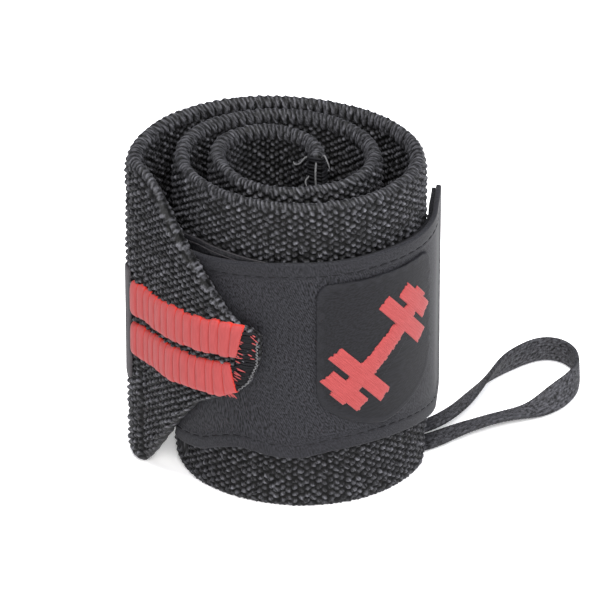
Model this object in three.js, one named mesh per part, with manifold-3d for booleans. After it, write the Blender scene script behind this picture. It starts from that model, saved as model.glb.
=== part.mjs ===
// A lifter's wrist wrap, rolled up loosely and stood on its edge.
// A thick elastic band winds two and a half turns. Its outer end is folded to a point, which is
// sewn onto a hook-and-loop tab that closes round the front. A flat elastic thumb loop is sewn to
// the inner end and leaves under the turns at the right. Millimetres, +Z up, front towards -Y.

import * as THREE from 'three';
import { mergeVertices } from 'three/addons/utils/BufferGeometryUtils.js';
import Module from 'manifold-3d';

const wasm = await Module();
wasm.setup();

// Gap kept between pieces that touch on the real wrap
const clearance = 0.3;

// Elastic band
const bandWidth = 76;
const bandThickness = 3.6;
const selvedgeRound = 1.1;
const rollRadius = 34.3;
const pointLength = 39;
const longestFacet = 3;
const coilFacetAngle = 9;

// Edge rounding takes at most this share of a sheet's thickness, in two facets where it is large
const roundingShare = 0.45;
const largeRounding = 0.3;

// Steps in which the paths are traced before facets are cut from them, in turns and millimetres
const turnStep = 0.002;
const fineStep = 0.5;

// Red ribbed stripes knitted along the middle of the band
const stripeWidth = 8;
const stripeSpacing = 2.4;
const stripeHeight = 1;
const ribPitch = 2.4;
const ribDepth = 0.5;
const upperStripeStart = 5;
const lowerStripeStart = 8.6;
const stripeEndTurn = 0.46;
const stripesBelowMiddle = 0.6;

// Closure tab, twill outside and hook tape inside
const tabWidth = 49;
const tabHeight = 38.7;
const twillThickness = 1;
const hookThickness = 1;
const hookInset = 0.6;
const tabInnerTurn = 0.93;
const tabTangentTurn = 0.505;
const tabFreeLength = 11;

// Woven badge on the tab
const badgeTurn = 0.628;
const badgeWidth = 31;
const badgeHeight = 38;
const badgeCentreHeight = 39;
const badgeThickness = 1;
const badgeCornerRadius = 3;
const badgeShoulder = 0.22;
const badgeFlank = 0.36;
const badgeFoot = 0.475;
const badgeFootWidth = 0.225;
const motifStandsProud = 0.4;
const motifTilt = 42;
const barLength = 31;
const barThickness = 4.6;
const plateThickness = 3.8;
const innerPlateLength = 18;
const outerPlateLength = 12;
const plateGap = 1.2;
const innerPlatePlace = 7.75;

// Thumb loop, a flat woven elastic
const strapWidth = 6;
const strapThickness = 1.2;
const loopReach = 60;
const floorGap = 0.3;
const loopRingStep = 0.25;
const loopTravelStep = 0.05;

// The coil seen from above: turns clockwise from the left, reach as a share of rollRadius
const coilRows = [
  { turn: 0.0, reach: 1.0 },
  { turn: 0.05, reach: 0.974 },
  { turn: 0.1, reach: 0.939 },
  { turn: 0.2, reach: 0.857 },
  { turn: 0.3, reach: 0.8 },
  { turn: 0.4, reach: 0.831 },
  { turn: 0.5, reach: 0.866 },
  { turn: 0.6, reach: 0.808 },
  { turn: 0.7, reach: 0.729 },
  { turn: 0.8, reach: 0.668 },
  { turn: 0.9, reach: 0.656 },
  { turn: 1.0, reach: 0.688 },
  { turn: 1.1, reach: 0.7 },
  { turn: 1.2, reach: 0.656 },
  { turn: 1.35, reach: 0.604 },
  { turn: 1.5, reach: 0.574 },
  { turn: 1.6, reach: 0.539 },
  { turn: 1.7, reach: 0.49 },
  { turn: 1.8, reach: 0.466 },
  { turn: 1.925, reach: 0.431 },
  { turn: 2.0, reach: 0.452 },
  { turn: 2.1, reach: 0.484 },
  { turn: 2.2, reach: 0.437 },
  { turn: 2.3, reach: 0.327 },
  { turn: 2.4, reach: 0.242 },
  { turn: 2.5, reach: 0.19 },
];

// The pointed end seen from above: rise is the share of the way out from the tip to rollRadius
const pointPlanRows = [
  { turn: -0.219, rise: 0.0 },
  { turn: -0.19, rise: -0.09 },
  { turn: -0.16, rise: -0.16 },
  { turn: -0.125, rise: -0.17 },
  { turn: -0.092, rise: -0.04 },
  { turn: -0.065, rise: 0.09 },
  { turn: -0.045, rise: 0.3 },
  { turn: -0.027, rise: 0.7 },
  { turn: -0.012, rise: 0.95 },
];

// The pointed end seen from the front: its edges as shares of pointLength and of bandWidth. Lift is
// how far its middle climbs, as a share of bandWidth, and thick is its share of bandThickness.
const pointEdgeRows = [
  { along: 0.0, low: 0.575, high: 0.61, lift: 0.016, thick: 0.68 },
  { along: 0.05, low: 0.505, high: 0.618, lift: 0.016, thick: 0.7 },
  { along: 0.13, low: 0.438, high: 0.628, lift: 0.016, thick: 0.76 },
  { along: 0.22, low: 0.39, high: 0.665, lift: 0.014, thick: 0.85 },
  { along: 0.41, low: 0.32, high: 0.772, lift: 0.006, thick: 1.0 },
  { along: 0.65, low: 0.176, high: 0.895, lift: 0.0, thick: 1.0 },
  { along: 0.82, low: 0.062, high: 0.965, lift: 0.0, thick: 1.0 },
  { along: 0.9, low: 0.012, high: 0.995, lift: 0.0, thick: 1.0 },
  { along: 0.95, low: 0.0, high: 1.0, lift: 0.0, thick: 1.0 },
];

// How far the tab's long edges wander from straight, as shares of tabWidth
const tabEdgeRows = [
  { turn: 0.44, low: 0.0, high: 0.0 },
  { turn: 0.56, low: 0.0, high: -0.004 },
  { turn: 0.62, low: 0.022, high: 0.006 },
  { turn: 0.69, low: 0.018, high: 0.004 },
  { turn: 0.735, low: -0.012, high: 0.004 },
  { turn: 0.77, low: -0.01, high: 0.0 },
  { turn: 0.81, low: 0.006, high: -0.006 },
  { turn: 0.85, low: -0.034, high: -0.014 },
  { turn: 0.875, low: -0.074, high: -0.02 },
  { turn: 0.91, low: -0.09, high: -0.03 },
];

// The thumb loop's way from the inner end out and back: out and back as shares of loopReach from
// where it is sewn on, heading of its way and lean of its width from upright in degrees, lift off
// the floor in millimetres
const loopRows = [
  { out: 0.025, back: 0.0, heading: 0, lean: -90, lift: 15 },
  { out: 0.025, back: 0.0, heading: 0, lean: -90, lift: 9 },
  { out: 0.033, back: 0.0, heading: 0, lean: -90, lift: 4.6 },
  { out: 0.085, back: -0.004, heading: -5, lean: -90, lift: 2.2 },
  { out: 0.18, back: -0.012, heading: 6, lean: -90, lift: 2 },
  { out: 0.356, back: 0.036, heading: 30, lean: -88, lift: 2 },
  { out: 0.492, back: 0.171, heading: 57, lean: -66, lift: 0.8 },
  { out: 0.589, back: 0.349, heading: 61, lean: -44, lift: 0.3 },
  { out: 0.695, back: 0.515, heading: 52, lean: -8, lift: 0.3 },
  { out: 0.845, back: 0.635, heading: 13, lean: 4, lift: 0.3 },
  { out: 0.958, back: 0.562, heading: -62, lean: 3, lift: 0.3 },
  { out: 0.972, back: 0.39, heading: -108, lean: 0, lift: 0.3 },
  { out: 0.888, back: 0.257, heading: -136, lean: -20, lift: 0.3 },
  { out: 0.785, back: 0.205, heading: -152, lean: -74, lift: 0.3 },
  { out: 0.65, back: 0.142, heading: -150, lean: -98, lift: 0.4 },
  { out: 0.494, back: 0.047, heading: -148, lean: -98, lift: 0.4 },
  { out: 0.336, back: -0.053, heading: -155, lean: -90, lift: 0.4 },
  { out: 0.18, back: -0.04, heading: -176, lean: -90, lift: 0.4 },
  { out: 0.055, back: -0.01, heading: -180, lean: -90, lift: 0.5 },
  { out: 0.004, back: 0.0, heading: -180, lean: -90, lift: 4 },
  { out: 0.0, back: 0.0, heading: -180, lean: -90, lift: 9 },
  { out: 0.0, back: 0.0, heading: -180, lean: -90, lift: 15 },
];

// Rows of the thumb loop's table between which its two strands run under the band
const outwardRows = { from: 3, to: 5.5 };
const returnRows = { from: 15.5, to: 18 };

// One rib of a stripe: where along it, and whether it stands at full height there
const ribProfile = [
  { share: 0, swell: 0 },
  { share: 0.28, swell: 1 },
  { share: 0.72, swell: 1 },
];

const knitBlack = new THREE.MeshStandardMaterial({ color: 0x343437, roughness: 0.95, metalness: 0 });
const ribRed = new THREE.MeshStandardMaterial({ color: 0xdd5c58, roughness: 0.8, metalness: 0 });
const twillGrey = new THREE.MeshStandardMaterial({ color: 0x3b3b41, roughness: 0.75, metalness: 0 });
const hookBlack = new THREE.MeshStandardMaterial({ color: 0x19191d, roughness: 0.6, metalness: 0 });
const badgeBlack = new THREE.MeshStandardMaterial({ color: 0x24242a, roughness: 0.8, metalness: 0 });
const elasticGrey = new THREE.MeshStandardMaterial({ color: 0x3a3a3d, roughness: 0.9, metalness: 0 });

const radians = THREE.MathUtils.degToRad;

// Value of a table's column between its rows, smooth through every row
function tableValue(rows, input, output, at) {
  const last = rows.length - 1;
  const place = THREE.MathUtils.clamp(at, rows[0][input], rows[last][input]);
  let row = 0;
  while (row < last - 1 && rows[row + 1][input] < place) row += 1;
  const rise = (from, to, column) => rows[to][column] - rows[from][column];
  const slope = (from, to) => rise(from, to, output) / rise(from, to, input);
  const span = rows[row + 1][input] - rows[row][input];
  const share = (place - rows[row][input]) / span;
  const startSlope = slope(Math.max(row - 1, 0), row + 1) * span;
  const endSlope = slope(row, Math.min(row + 2, last)) * span;
  const start = rows[row][output];
  const end = rows[row + 1][output];
  const square = share * share;
  const cube = square * share;
  return (2 * cube - 3 * square + 1) * start + (cube - 2 * square + share) * startSlope
    + (3 * square - 2 * cube) * end + (cube - square) * endSlope;
}

// Straight-line value of a table's column between its rows
function tableLine(rows, input, output, at) {
  const last = rows.length - 1;
  const place = THREE.MathUtils.clamp(at, rows[0][input], rows[last][input]);
  let row = 0;
  while (row < last - 1 && rows[row + 1][input] < place) row += 1;
  const share = (place - rows[row][input]) / (rows[row + 1][input] - rows[row][input]);
  return THREE.MathUtils.lerp(rows[row][output], rows[row + 1][output], share);
}

// Plan point at a number of turns clockwise from the left
function polarPoint(turn, radius) {
  const angle = Math.PI - 2 * Math.PI * turn;
  return new THREE.Vector2(radius * Math.cos(angle), radius * Math.sin(angle));
}

// A way through plan points, read by the length along it. Its side points to the left of travel.
function planPath(points) {
  const lengths = [0];
  for (let i = 1; i < points.length; i += 1) {
    lengths.push(lengths[i - 1] + points[i].distanceTo(points[i - 1]));
  }
  const total = lengths[lengths.length - 1];
  const at = (length) => {
    const place = THREE.MathUtils.clamp(length, 0, total);
    let i = 1;
    while (i < points.length - 1 && lengths[i] < place) i += 1;
    const share = (place - lengths[i - 1]) / (lengths[i] - lengths[i - 1]);
    const point = points[i - 1].clone().lerp(points[i], share);
    const before = points[Math.max(i - 3, 0)];
    const after = points[Math.min(i + 2, points.length - 1)];
    const travel = after.clone().sub(before).normalize();
    const angle = Math.atan2(point.y, point.x);
    return { point, travel, side: new THREE.Vector2(-travel.y, travel.x), radius: point.length(), angle };
  };
  return { total, at, lengths };
}

// A closed solid through rings of points, each ring a convex outline of the same count
function solidThrough(rings) {
  const count = rings[0].length;
  const positions = rings.flat().flatMap((point) => [point.x, point.y, point.z]);
  const triangles = [];
  for (let ring = 0; ring < rings.length - 1; ring += 1) {
    for (let i = 0; i < count; i += 1) {
      const a = ring * count + i;
      const b = ring * count + (i + 1) % count;
      triangles.push(a, b, b + count, a, b + count, a + count);
    }
  }
  const lastRing = (rings.length - 1) * count;
  for (let i = 1; i < count - 1; i += 1) {
    triangles.push(0, i + 1, i);
    triangles.push(lastRing, lastRing + i, lastRing + i + 1);
  }
  const geometry = new THREE.BufferGeometry();
  geometry.setAttribute('position', new THREE.Float32BufferAttribute(positions, 3));
  geometry.setIndex(triangles);
  if (signedVolume(geometry) < 0) geometry.index.array.reverse();
  return geometry;
}

// Volume inside a closed geometry, below zero where its faces are turned inwards
function signedVolume(geometry) {
  const position = geometry.getAttribute('position');
  const [a, b, c] = [new THREE.Vector3(), new THREE.Vector3(), new THREE.Vector3()];
  let volume = 0;
  for (let i = 0; i < geometry.index.count; i += 3) {
    a.fromBufferAttribute(position, geometry.index.getX(i));
    b.fromBufferAttribute(position, geometry.index.getX(i + 1));
    c.fromBufferAttribute(position, geometry.index.getX(i + 2));
    volume += a.dot(b.cross(c)) / 6;
  }
  return volume;
}

// Upright outline across a sheet: its faces at two distances from the path, its edges rounded
function sheetOutline(inner, outer, low, high, round) {
  const corner = Math.min(round, roundingShare * (outer - inner), roundingShare * (high - low));
  const corners = [
    { across: outer - corner, up: low + corner, start: -90 },
    { across: outer - corner, up: high - corner, start: 0 },
    { across: inner + corner, up: high - corner, start: 90 },
    { across: inner + corner, up: low + corner, start: 180 },
  ];
  const steps = corner > largeRounding ? 2 : 1;
  return corners.flatMap(({ across, up, start }) => {
    const points = [];
    for (let step = 0; step <= steps; step += 1) {
      const angle = radians(start + 90 * step / steps);
      points.push({ across: across + corner * Math.cos(angle), up: up + corner * Math.sin(angle) });
    }
    return points;
  });
}

// The same outline with square edges
function squareOutline(inner, outer, low, high) {
  return [
    { across: outer, up: low },
    { across: outer, up: high },
    { across: inner, up: high },
    { across: inner, up: low },
  ];
}

// A sheet that stands along a path, with an outline for each length along it
function standingSheet(path, lengths, outlineAt) {
  return solidThrough(lengths.map((length) => {
    const { point, side } = path.at(length);
    return outlineAt(length).map(({ across, up }) => (
      new THREE.Vector3(point.x + side.x * across, point.y + side.y * across, up)));
  }));
}

// Geometry handed to the boolean library, with its shared corners joined
function toManifold(geometry) {
  const bare = new THREE.BufferGeometry();
  bare.setAttribute('position', geometry.getAttribute('position').clone());
  if (geometry.index) bare.setIndex(geometry.index.clone());
  const merged = mergeVertices(bare, 1e-5);
  const vertProperties = new Float32Array(merged.getAttribute('position').array);
  const triVerts = new Uint32Array(merged.index.array);
  return new wasm.Manifold(new wasm.Mesh({ numProp: 3, vertProperties, triVerts }));
}

// Geometry taken back from the boolean library
function fromManifold(solid) {
  const mesh = solid.getMesh();
  const geometry = new THREE.BufferGeometry();
  geometry.setAttribute('position', new THREE.Float32BufferAttribute(mesh.vertProperties, 3));
  geometry.setIndex(Array.from(mesh.triVerts));
  return geometry;
}

// Even steps between two lengths, none longer than the longest allowed
function evenLengths(from, to, longest) {
  const count = Math.max(1, Math.ceil((to - from) / longest));
  return Array.from({ length: count + 1 }, (_, i) => THREE.MathUtils.lerp(from, to, i / count));
}

// Room that the tab's two layers and the gaps beside them take between the band's turns
const tabStack = clearance + hookThickness + clearance + twillThickness + clearance;

// Way of the band through its pointed end and its coil
const coilRadius = (turn) => rollRadius * tableValue(coilRows, 'turn', 'reach', turn);
const tipTurn = pointPlanRows[0].turn;
const tipRadius = coilRadius(1 + tipTurn) + bandThickness + tabStack;
const bandPlanRows = [
  ...pointPlanRows.map(({ turn, rise }) => ({ turn, radius: tipRadius + rise * (rollRadius - tipRadius) })),
  ...coilRows.map(({ turn, reach }) => ({ turn, radius: reach * rollRadius })),
];
const lastTurn = coilRows[coilRows.length - 1].turn;
const bandRadius = (turn) => tableValue(bandPlanRows, 'turn', 'radius', turn);
const bandTurns = evenLengths(tipTurn, lastTurn, turnStep);
const bandPath = planPath(bandTurns.map((turn) => polarPoint(turn, bandRadius(turn))));
const lengthAtTurn = (turn) => {
  const place = (turn - tipTurn) / (lastTurn - tipTurn) * (bandTurns.length - 1);
  return bandPath.lengths[Math.round(place)];
};

// Height of the band's edges, and how far its outer face stands from its path, at a length
const edgeAt = (length, side) => bandWidth * tableLine(pointEdgeRows, 'along', side, length / pointLength);
const outerFaceAt = (length) => (
  bandThickness * (tableLine(pointEdgeRows, 'along', 'thick', length / pointLength) - 0.5));

// The strap, and the two ways that its strands need under the band
function makeThumbLoop() {
  const sewn = bandPath.at(bandPath.total - strapWidth / 2);
  const standoff = bandThickness / 2 + clearance + strapThickness / 2;
  const start = sewn.point.clone().addScaledVector(sewn.side, standoff);
  const rows = loopRows.map((row, i) => ({ ...row, place: i }));
  const along = evenLengths(0, rows.length - 1, loopRingStep);
  const centre = (place) => {
    const value = (column) => tableValue(rows, 'place', column, place);
    const lean = radians(value('lean'));
    const rise = Math.abs(Math.cos(lean)) * strapWidth / 2 + Math.abs(Math.sin(lean)) * strapThickness / 2;
    const lift = Math.max(value('lift'), floorGap);
    const out = start.x + loopReach * value('out');
    const back = start.y + loopReach * value('back');
    return new THREE.Vector3(out, back, rise + lift);
  };
  const rings = along.map((place) => {
    const travel = centre(place + loopTravelStep).sub(centre(place - loopTravelStep)).normalize();
    const heading = radians(tableValue(rows, 'place', 'heading', place));
    const lean = radians(tableValue(rows, 'place', 'lean', place));
    const sideways = new THREE.Vector3(-Math.sin(heading), Math.cos(heading), 0);
    const width = sideways.multiplyScalar(Math.sin(lean)).setZ(Math.cos(lean));
    width.addScaledVector(travel, -width.dot(travel)).normalize();
    const face = travel.clone().cross(width);
    return { centre: centre(place), width, face };
  });
  const strap = solidThrough(rings.map((ring) => (
    [[1, 1], [-1, 1], [-1, -1], [1, -1]].map(([across, through]) => ring.centre.clone()
      .addScaledVector(ring.width, across * strapWidth / 2)
      .addScaledVector(ring.face, through * strapThickness / 2)))));
  // The room that a stretch of the strap takes below the band's lower edge
  const reach = strapWidth / 2 + 2 * clearance;
  const wayUnder = ({ from, to }) => {
    const near = rings.filter((_, i) => along[i] >= from && along[i] <= to);
    return solidThrough(near.map((ring) => {
      const top = ring.centre.z + strapThickness / 2 + clearance;
      return [[1, top], [-1, top], [-1, -1], [1, -1]].map(([across, up]) => (
        ring.centre.clone().addScaledVector(ring.width, across * reach).setZ(up)));
    }));
  };
  return { strap, outwardWay: wayUnder(outwardRows), returnWay: wayUnder(returnRows) };
}

// The band in one piece, its facets shorter where it curves tighter
function makeBand() {
  const lengths = [];
  let length = 0;
  while (length < bandPath.total - fineStep) {
    lengths.push(length);
    length += Math.min(longestFacet, radians(coilFacetAngle) * bandPath.at(length).radius);
  }
  lengths.push(bandPath.total);
  const whole = standingSheet(bandPath, lengths, (at) => (
    sheetOutline(-bandThickness / 2, outerFaceAt(at), edgeAt(at, 'low'), edgeAt(at, 'high'), selvedgeRound)));
  const solid = [thumbLoop.outwardWay, thumbLoop.returnWay]
    .reduce((rest, way) => rest.subtract(toManifold(way)), toManifold(whole));
  return fromManifold(solid);
}

// A stripe's outline swells and sinks once for each rib
function makeStripe(low, startLength) {
  const endLength = lengthAtTurn(stripeEndTurn);
  const ribs = Math.floor((endLength - startLength) / ribPitch);
  const stations = [];
  for (let rib = 0; rib < ribs; rib += 1) {
    ribProfile.forEach(({ share, swell }) => {
      stations.push({ length: startLength + (rib + share) * ribPitch, swell });
    });
  }
  stations.push({ length: startLength + ribs * ribPitch, swell: 0 });
  const swellAt = new Map(stations.map(({ length, swell }) => [length, swell]));
  return standingSheet(bandPath, [...swellAt.keys()], (length) => {
    const sink = (1 - swellAt.get(length)) * ribDepth;
    const inner = outerFaceAt(length) + clearance;
    const from = low + edgeAt(length, 'lift');
    return squareOutline(inner, inner + stripeHeight - sink, from + sink / 2, from + stripeWidth - sink / 2);
  });
}

// Way of the tab's outer face: free end at the right, round the front, under the point at the left
const tabPath = (() => {
  const pointTurn = 1 + tipTurn;
  const radiusAt = (turn) => (turn <= pointTurn
    ? coilRadius(turn) + bandThickness / 2 + tabStack - clearance
    : bandRadius(turn - 1) - bandThickness / 2 - clearance);
  const round = evenLengths(tabTangentTurn, tabInnerTurn, turnStep)
    .map((turn) => polarPoint(turn, radiusAt(turn)));
  const backwards = round[0].clone().sub(round[2]).normalize();
  const free = evenLengths(0, tabFreeLength, fineStep).slice(1).reverse()
    .map((length) => round[0].clone().addScaledVector(backwards, length));
  return planPath([...free, ...round]);
})();

// Height of the tab's long edges at a length of its way
const turnOf = ({ angle }) => (Math.PI - angle) / (2 * Math.PI);
const tabEdge = (length, column, rest) => (
  rest + tabWidth * tableValue(tabEdgeRows, 'turn', column, turnOf(tabPath.at(length))));
const tabLow = (length) => tabEdge(length, 'low', tabHeight - tabWidth / 2);
const tabHigh = (length) => tabEdge(length, 'high', tabHeight + tabWidth / 2);

// The tab's outer layer
function makeTab() {
  const lengths = evenLengths(0, tabPath.total, longestFacet);
  return standingSheet(tabPath, lengths, (at) => (
    sheetOutline(-twillThickness, 0, tabLow(at), tabHigh(at), twillThickness / 2)));
}

// The tab's inner layer, a little smaller all round
function makeHookTape() {
  const lengths = evenLengths(hookInset, tabPath.total - hookInset, longestFacet);
  const outer = -twillThickness - clearance;
  return standingSheet(tabPath, lengths, (at) => (
    squareOutline(outer - hookThickness, outer, tabLow(at) + hookInset, tabHigh(at) - hookInset)));
}

// Where the badge sits on the tab
const badgeLength = (() => {
  const lengths = evenLengths(0, tabPath.total, fineStep);
  const miss = (length) => Math.abs(turnOf(tabPath.at(length)) - badgeTurn);
  return lengths.reduce((best, length) => (miss(length) < miss(best) ? length : best));
})();

// A prism of a flat outline, pressed through the tab square to the middle of the badge
function badgePrism(shape) {
  const { point, side, travel } = tabPath.at(badgeLength);
  const depth = badgeWidth / 2;
  const geometry = new THREE.ExtrudeGeometry(shape, { depth, bevelEnabled: false, curveSegments: 6 });
  geometry.translate(0, 0, -depth / 2);
  const right = new THREE.Vector3(-travel.x, -travel.y, 0);
  const out = new THREE.Vector3(side.x, side.y, 0);
  const place = new THREE.Matrix4().makeBasis(right, new THREE.Vector3(0, 0, 1), out);
  place.setPosition(point.x, point.y, badgeCentreHeight);
  geometry.applyMatrix4(place);
  return toManifold(geometry);
}

// A skin that follows the tab's outer face between two distances from it
function badgeSkin(inner, outer) {
  const reach = badgeWidth / 2 + longestFacet;
  const lengths = evenLengths(badgeLength - reach, badgeLength + reach, longestFacet);
  const low = badgeCentreHeight - badgeHeight;
  const high = badgeCentreHeight + badgeHeight;
  return toManifold(standingSheet(tabPath, lengths, () => squareOutline(inner, outer, low, high)));
}

// The badge's outline: square shoulders, and a foot rounded through shares of its size
function shieldShape() {
  const half = badgeWidth / 2;
  const top = badgeHeight / 2;
  const upper = top - badgeCornerRadius;
  const inset = half - badgeCornerRadius;
  const shoulder = -badgeHeight * badgeShoulder;
  const flank = -badgeHeight * badgeFlank;
  const foot = -badgeHeight * badgeFoot;
  const footWidth = badgeWidth * badgeFootWidth;
  const shape = new THREE.Shape();
  shape.moveTo(-half, shoulder);
  shape.lineTo(-half, upper);
  shape.absarc(-inset, upper, badgeCornerRadius, Math.PI, Math.PI / 2, true);
  shape.absarc(inset, upper, badgeCornerRadius, Math.PI / 2, 0, true);
  shape.lineTo(half, shoulder);
  shape.bezierCurveTo(half, flank, footWidth, foot, 0, -top);
  shape.bezierCurveTo(-footWidth, foot, -half, flank, -half, shoulder);
  return shape;
}

// A tilted bar, its centre at a distance along the dumbbell's axis
function barShape(centre, length, thickness) {
  const tilt = radians(motifTilt);
  const corners = [[-1, -1], [1, -1], [1, 1], [-1, 1]].map(([x, y]) => (
    new THREE.Vector2(centre + x * length / 2, y * thickness / 2).rotateAround(new THREE.Vector2(), tilt)));
  return new THREE.Shape(corners);
}

// A plain dumbbell: a bar with two plates near each end, grown all round by a margin
function dumbbell(margin) {
  const grown = 2 * margin;
  const outerPlatePlace = innerPlatePlace + plateThickness + plateGap;
  const parts = [badgePrism(barShape(0, barLength + grown, barThickness + grown))];
  [-1, 1].forEach((end) => {
    const thickness = plateThickness + grown;
    parts.push(badgePrism(barShape(end * innerPlatePlace, thickness, innerPlateLength + grown)));
    parts.push(badgePrism(barShape(end * outerPlatePlace, thickness, outerPlateLength + grown)));
  });
  return parts.reduce((sum, part) => sum.add(part));
}

// The badge with room cut for its motif, and the motif that stands a little proud of it
function makeBadge() {
  const skin = badgeSkin(clearance, clearance + badgeThickness).intersect(badgePrism(shieldShape()));
  return fromManifold(skin.subtract(dumbbell(clearance)));
}

function makeMotif() {
  const skin = badgeSkin(clearance, clearance + badgeThickness + motifStandsProud);
  return fromManifold(skin.intersect(dumbbell(0)));
}

const group = new THREE.Group();

// One named piece of the wrap
function addPiece(name, geometry, material) {
  const mesh = new THREE.Mesh(geometry, material);
  mesh.name = name;
  group.add(mesh);
}

const thumbLoop = makeThumbLoop();
const stripeMiddle = bandWidth / 2 - stripesBelowMiddle;
const upperStripeLow = stripeMiddle + stripeSpacing / 2;
const lowerStripeLow = stripeMiddle - stripeSpacing / 2 - stripeWidth;
addPiece('band', makeBand(), knitBlack);
addPiece('stripe_upper', makeStripe(upperStripeLow, upperStripeStart), ribRed);
addPiece('stripe_lower', makeStripe(lowerStripeLow, lowerStripeStart), ribRed);
addPiece('closure_tab', makeTab(), twillGrey);
addPiece('hook_tape', makeHookTape(), hookBlack);
addPiece('badge', makeBadge(), badgeBlack);
addPiece('badge_motif', makeMotif(), ribRed);
addPiece('thumb_loop', thumbLoop.strap, elasticGrey);

// The origin is the middle of the wrap's footprint
const box = new THREE.Box3().setFromObject(group, true);
const middle = box.getCenter(new THREE.Vector3());
group.position.set(-middle.x, -middle.y, 0);

export default group;
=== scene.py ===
"""Wrist wrap, rolled up and stood on its edge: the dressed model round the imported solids."""

import math

import bpy
import numpy as np
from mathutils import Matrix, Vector


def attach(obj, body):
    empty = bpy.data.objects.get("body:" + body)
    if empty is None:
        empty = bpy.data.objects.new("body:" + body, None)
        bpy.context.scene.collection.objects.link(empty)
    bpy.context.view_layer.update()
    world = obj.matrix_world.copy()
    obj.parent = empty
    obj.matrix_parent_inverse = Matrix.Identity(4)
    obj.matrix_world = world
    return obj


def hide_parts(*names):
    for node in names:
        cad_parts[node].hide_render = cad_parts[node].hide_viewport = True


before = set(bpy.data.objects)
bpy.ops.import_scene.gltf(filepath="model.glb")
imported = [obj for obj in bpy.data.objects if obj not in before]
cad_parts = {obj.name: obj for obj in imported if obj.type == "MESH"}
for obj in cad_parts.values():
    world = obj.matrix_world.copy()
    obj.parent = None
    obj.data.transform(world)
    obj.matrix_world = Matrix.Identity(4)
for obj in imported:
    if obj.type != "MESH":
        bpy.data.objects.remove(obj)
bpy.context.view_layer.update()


# Camera, floor and light
# The photograph is a product shot from slightly above with a very long lens, on a white sweep.
# The key softbox is in front, one fills in from the right and one hangs above. The object stands
# on its lower edge.

# The wrap's sizes are in mm, and this turns them into metres
MM = 0.001
ROLL_CENTRE = np.array([-15.827, -6.081])
AIM_FROM_ROLL_CENTRE = (3.12, 1.31, 38.0)
CAMERA_DISTANCE = 1500
CAMERA_ELEVATION = math.radians(28.84)
CAMERA_LENS = 395.9

aim = Vector((
    ROLL_CENTRE[0] + AIM_FROM_ROLL_CENTRE[0],
    ROLL_CENTRE[1] + AIM_FROM_ROLL_CENTRE[1],
    AIM_FROM_ROLL_CENTRE[2],
)) * MM
backwards = Vector((0, -math.cos(CAMERA_ELEVATION), math.sin(CAMERA_ELEVATION)))
camera_data = bpy.data.cameras.new("camera")
camera_data.lens = CAMERA_LENS
camera_data.sensor_width = 36
camera_data.clip_start = 0.1
camera_data.clip_end = 20
camera = bpy.data.objects.new("camera", camera_data)
camera.location = aim + backwards * CAMERA_DISTANCE * MM
camera.rotation_mode = "QUATERNION"
camera.rotation_quaternion = (-backwards).to_track_quat("-Z", "Y")
bpy.context.collection.objects.link(camera)
bpy.context.scene.camera = camera


def linear(hex_colour):
    """A colour written as sRGB hex, as the linear RGBA that the nodes take."""
    channels = [int(hex_colour[i:i + 2], 16) / 255 for i in (1, 3, 5)]
    curved = [c / 12.92 if c <= 0.04045 else ((c + 0.055) / 1.055) ** 2.4 for c in channels]
    return (*curved, 1.0)


def set_inputs(tree, node, inputs):
    """Each input set to a value, or linked to a socket or to a node's first output in use."""
    for name, value in inputs.items():
        if isinstance(value, bpy.types.Node):
            value = next(output for output in value.outputs if output.enabled)
        if isinstance(value, bpy.types.NodeSocket):
            tree.links.new(value, node.inputs[name])
        else:
            node.inputs[name].default_value = value


def add_node(tree, kind, inputs=None, **settings):
    """One node with its settings and its inputs."""
    node = tree.nodes.new("ShaderNode" + kind)
    for name, value in settings.items():
        setattr(node, name, value)
    set_inputs(tree, node, inputs or {})
    return node


def new_material(name):
    """An empty node material, its tree and its surface shader."""
    material = bpy.data.materials.new(name)
    material.use_nodes = True
    tree = material.node_tree
    tree.nodes.clear()
    shader = add_node(tree, "BsdfPrincipled")
    add_node(tree, "OutputMaterial", {"Surface": shader})
    return material, tree, shader


def area_light(name, place, size, watts, colour):
    """A square softbox that points at the middle of the wrap, its place and size in metres."""
    data = bpy.data.lights.new(name, "AREA")
    data.size = size
    data.energy = watts
    data.color = linear(colour)[:3]
    light = bpy.data.objects.new(name, data)
    light.location = place
    light.rotation_mode = "QUATERNION"
    light.rotation_quaternion = (aim - Vector(place)).to_track_quat("-Z", "Y")
    bpy.context.collection.objects.link(light)


area_light("key_softbox", (0.05, -0.85, 0.72), 0.5, 10.5, "#FFFDFA")
area_light("fill_softbox", (0.75, -0.3, 0.6), 0.8, 6.0, "#F8FBFF")
area_light("top_softbox", (-0.05, -0.15, 1.1), 0.5, 17.0, "#FFFFFF")

world = bpy.data.worlds.new("white_studio")
world.use_nodes = True
world.node_tree.nodes["Background"].inputs["Color"].default_value = linear("#F2F2FF")
world.node_tree.nodes["Background"].inputs["Strength"].default_value = 0.55
bpy.context.scene.world = world
bpy.context.scene.view_settings.view_transform = "Standard"

bpy.ops.object.select_all(action="DESELECT")
bpy.ops.mesh.primitive_plane_add(size=14, location=(0, 0, 0))
floor = bpy.context.object
floor.name = "floor"
# Matt white paper with a faint grain of about 1 mm
floor_paper, tree, shader = new_material("white_paper_sweep")
grain = add_node(tree, "TexNoise", {"Scale": 900.0, "Detail": 3.0})
tint = add_node(
    tree, "Mix", {"Factor": grain, "A": linear("#FBFBFB"), "B": linear("#FEFEFE")}, data_type="RGBA",
)
set_inputs(tree, shader, {
    "Base Color": tint, "Roughness": 0.85, "Specular IOR Level": 0.2,
    "Emission Color": linear("#FFFFFF"), "Emission Strength": 0.22,
})
floor.data.materials.append(floor_paper)


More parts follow.
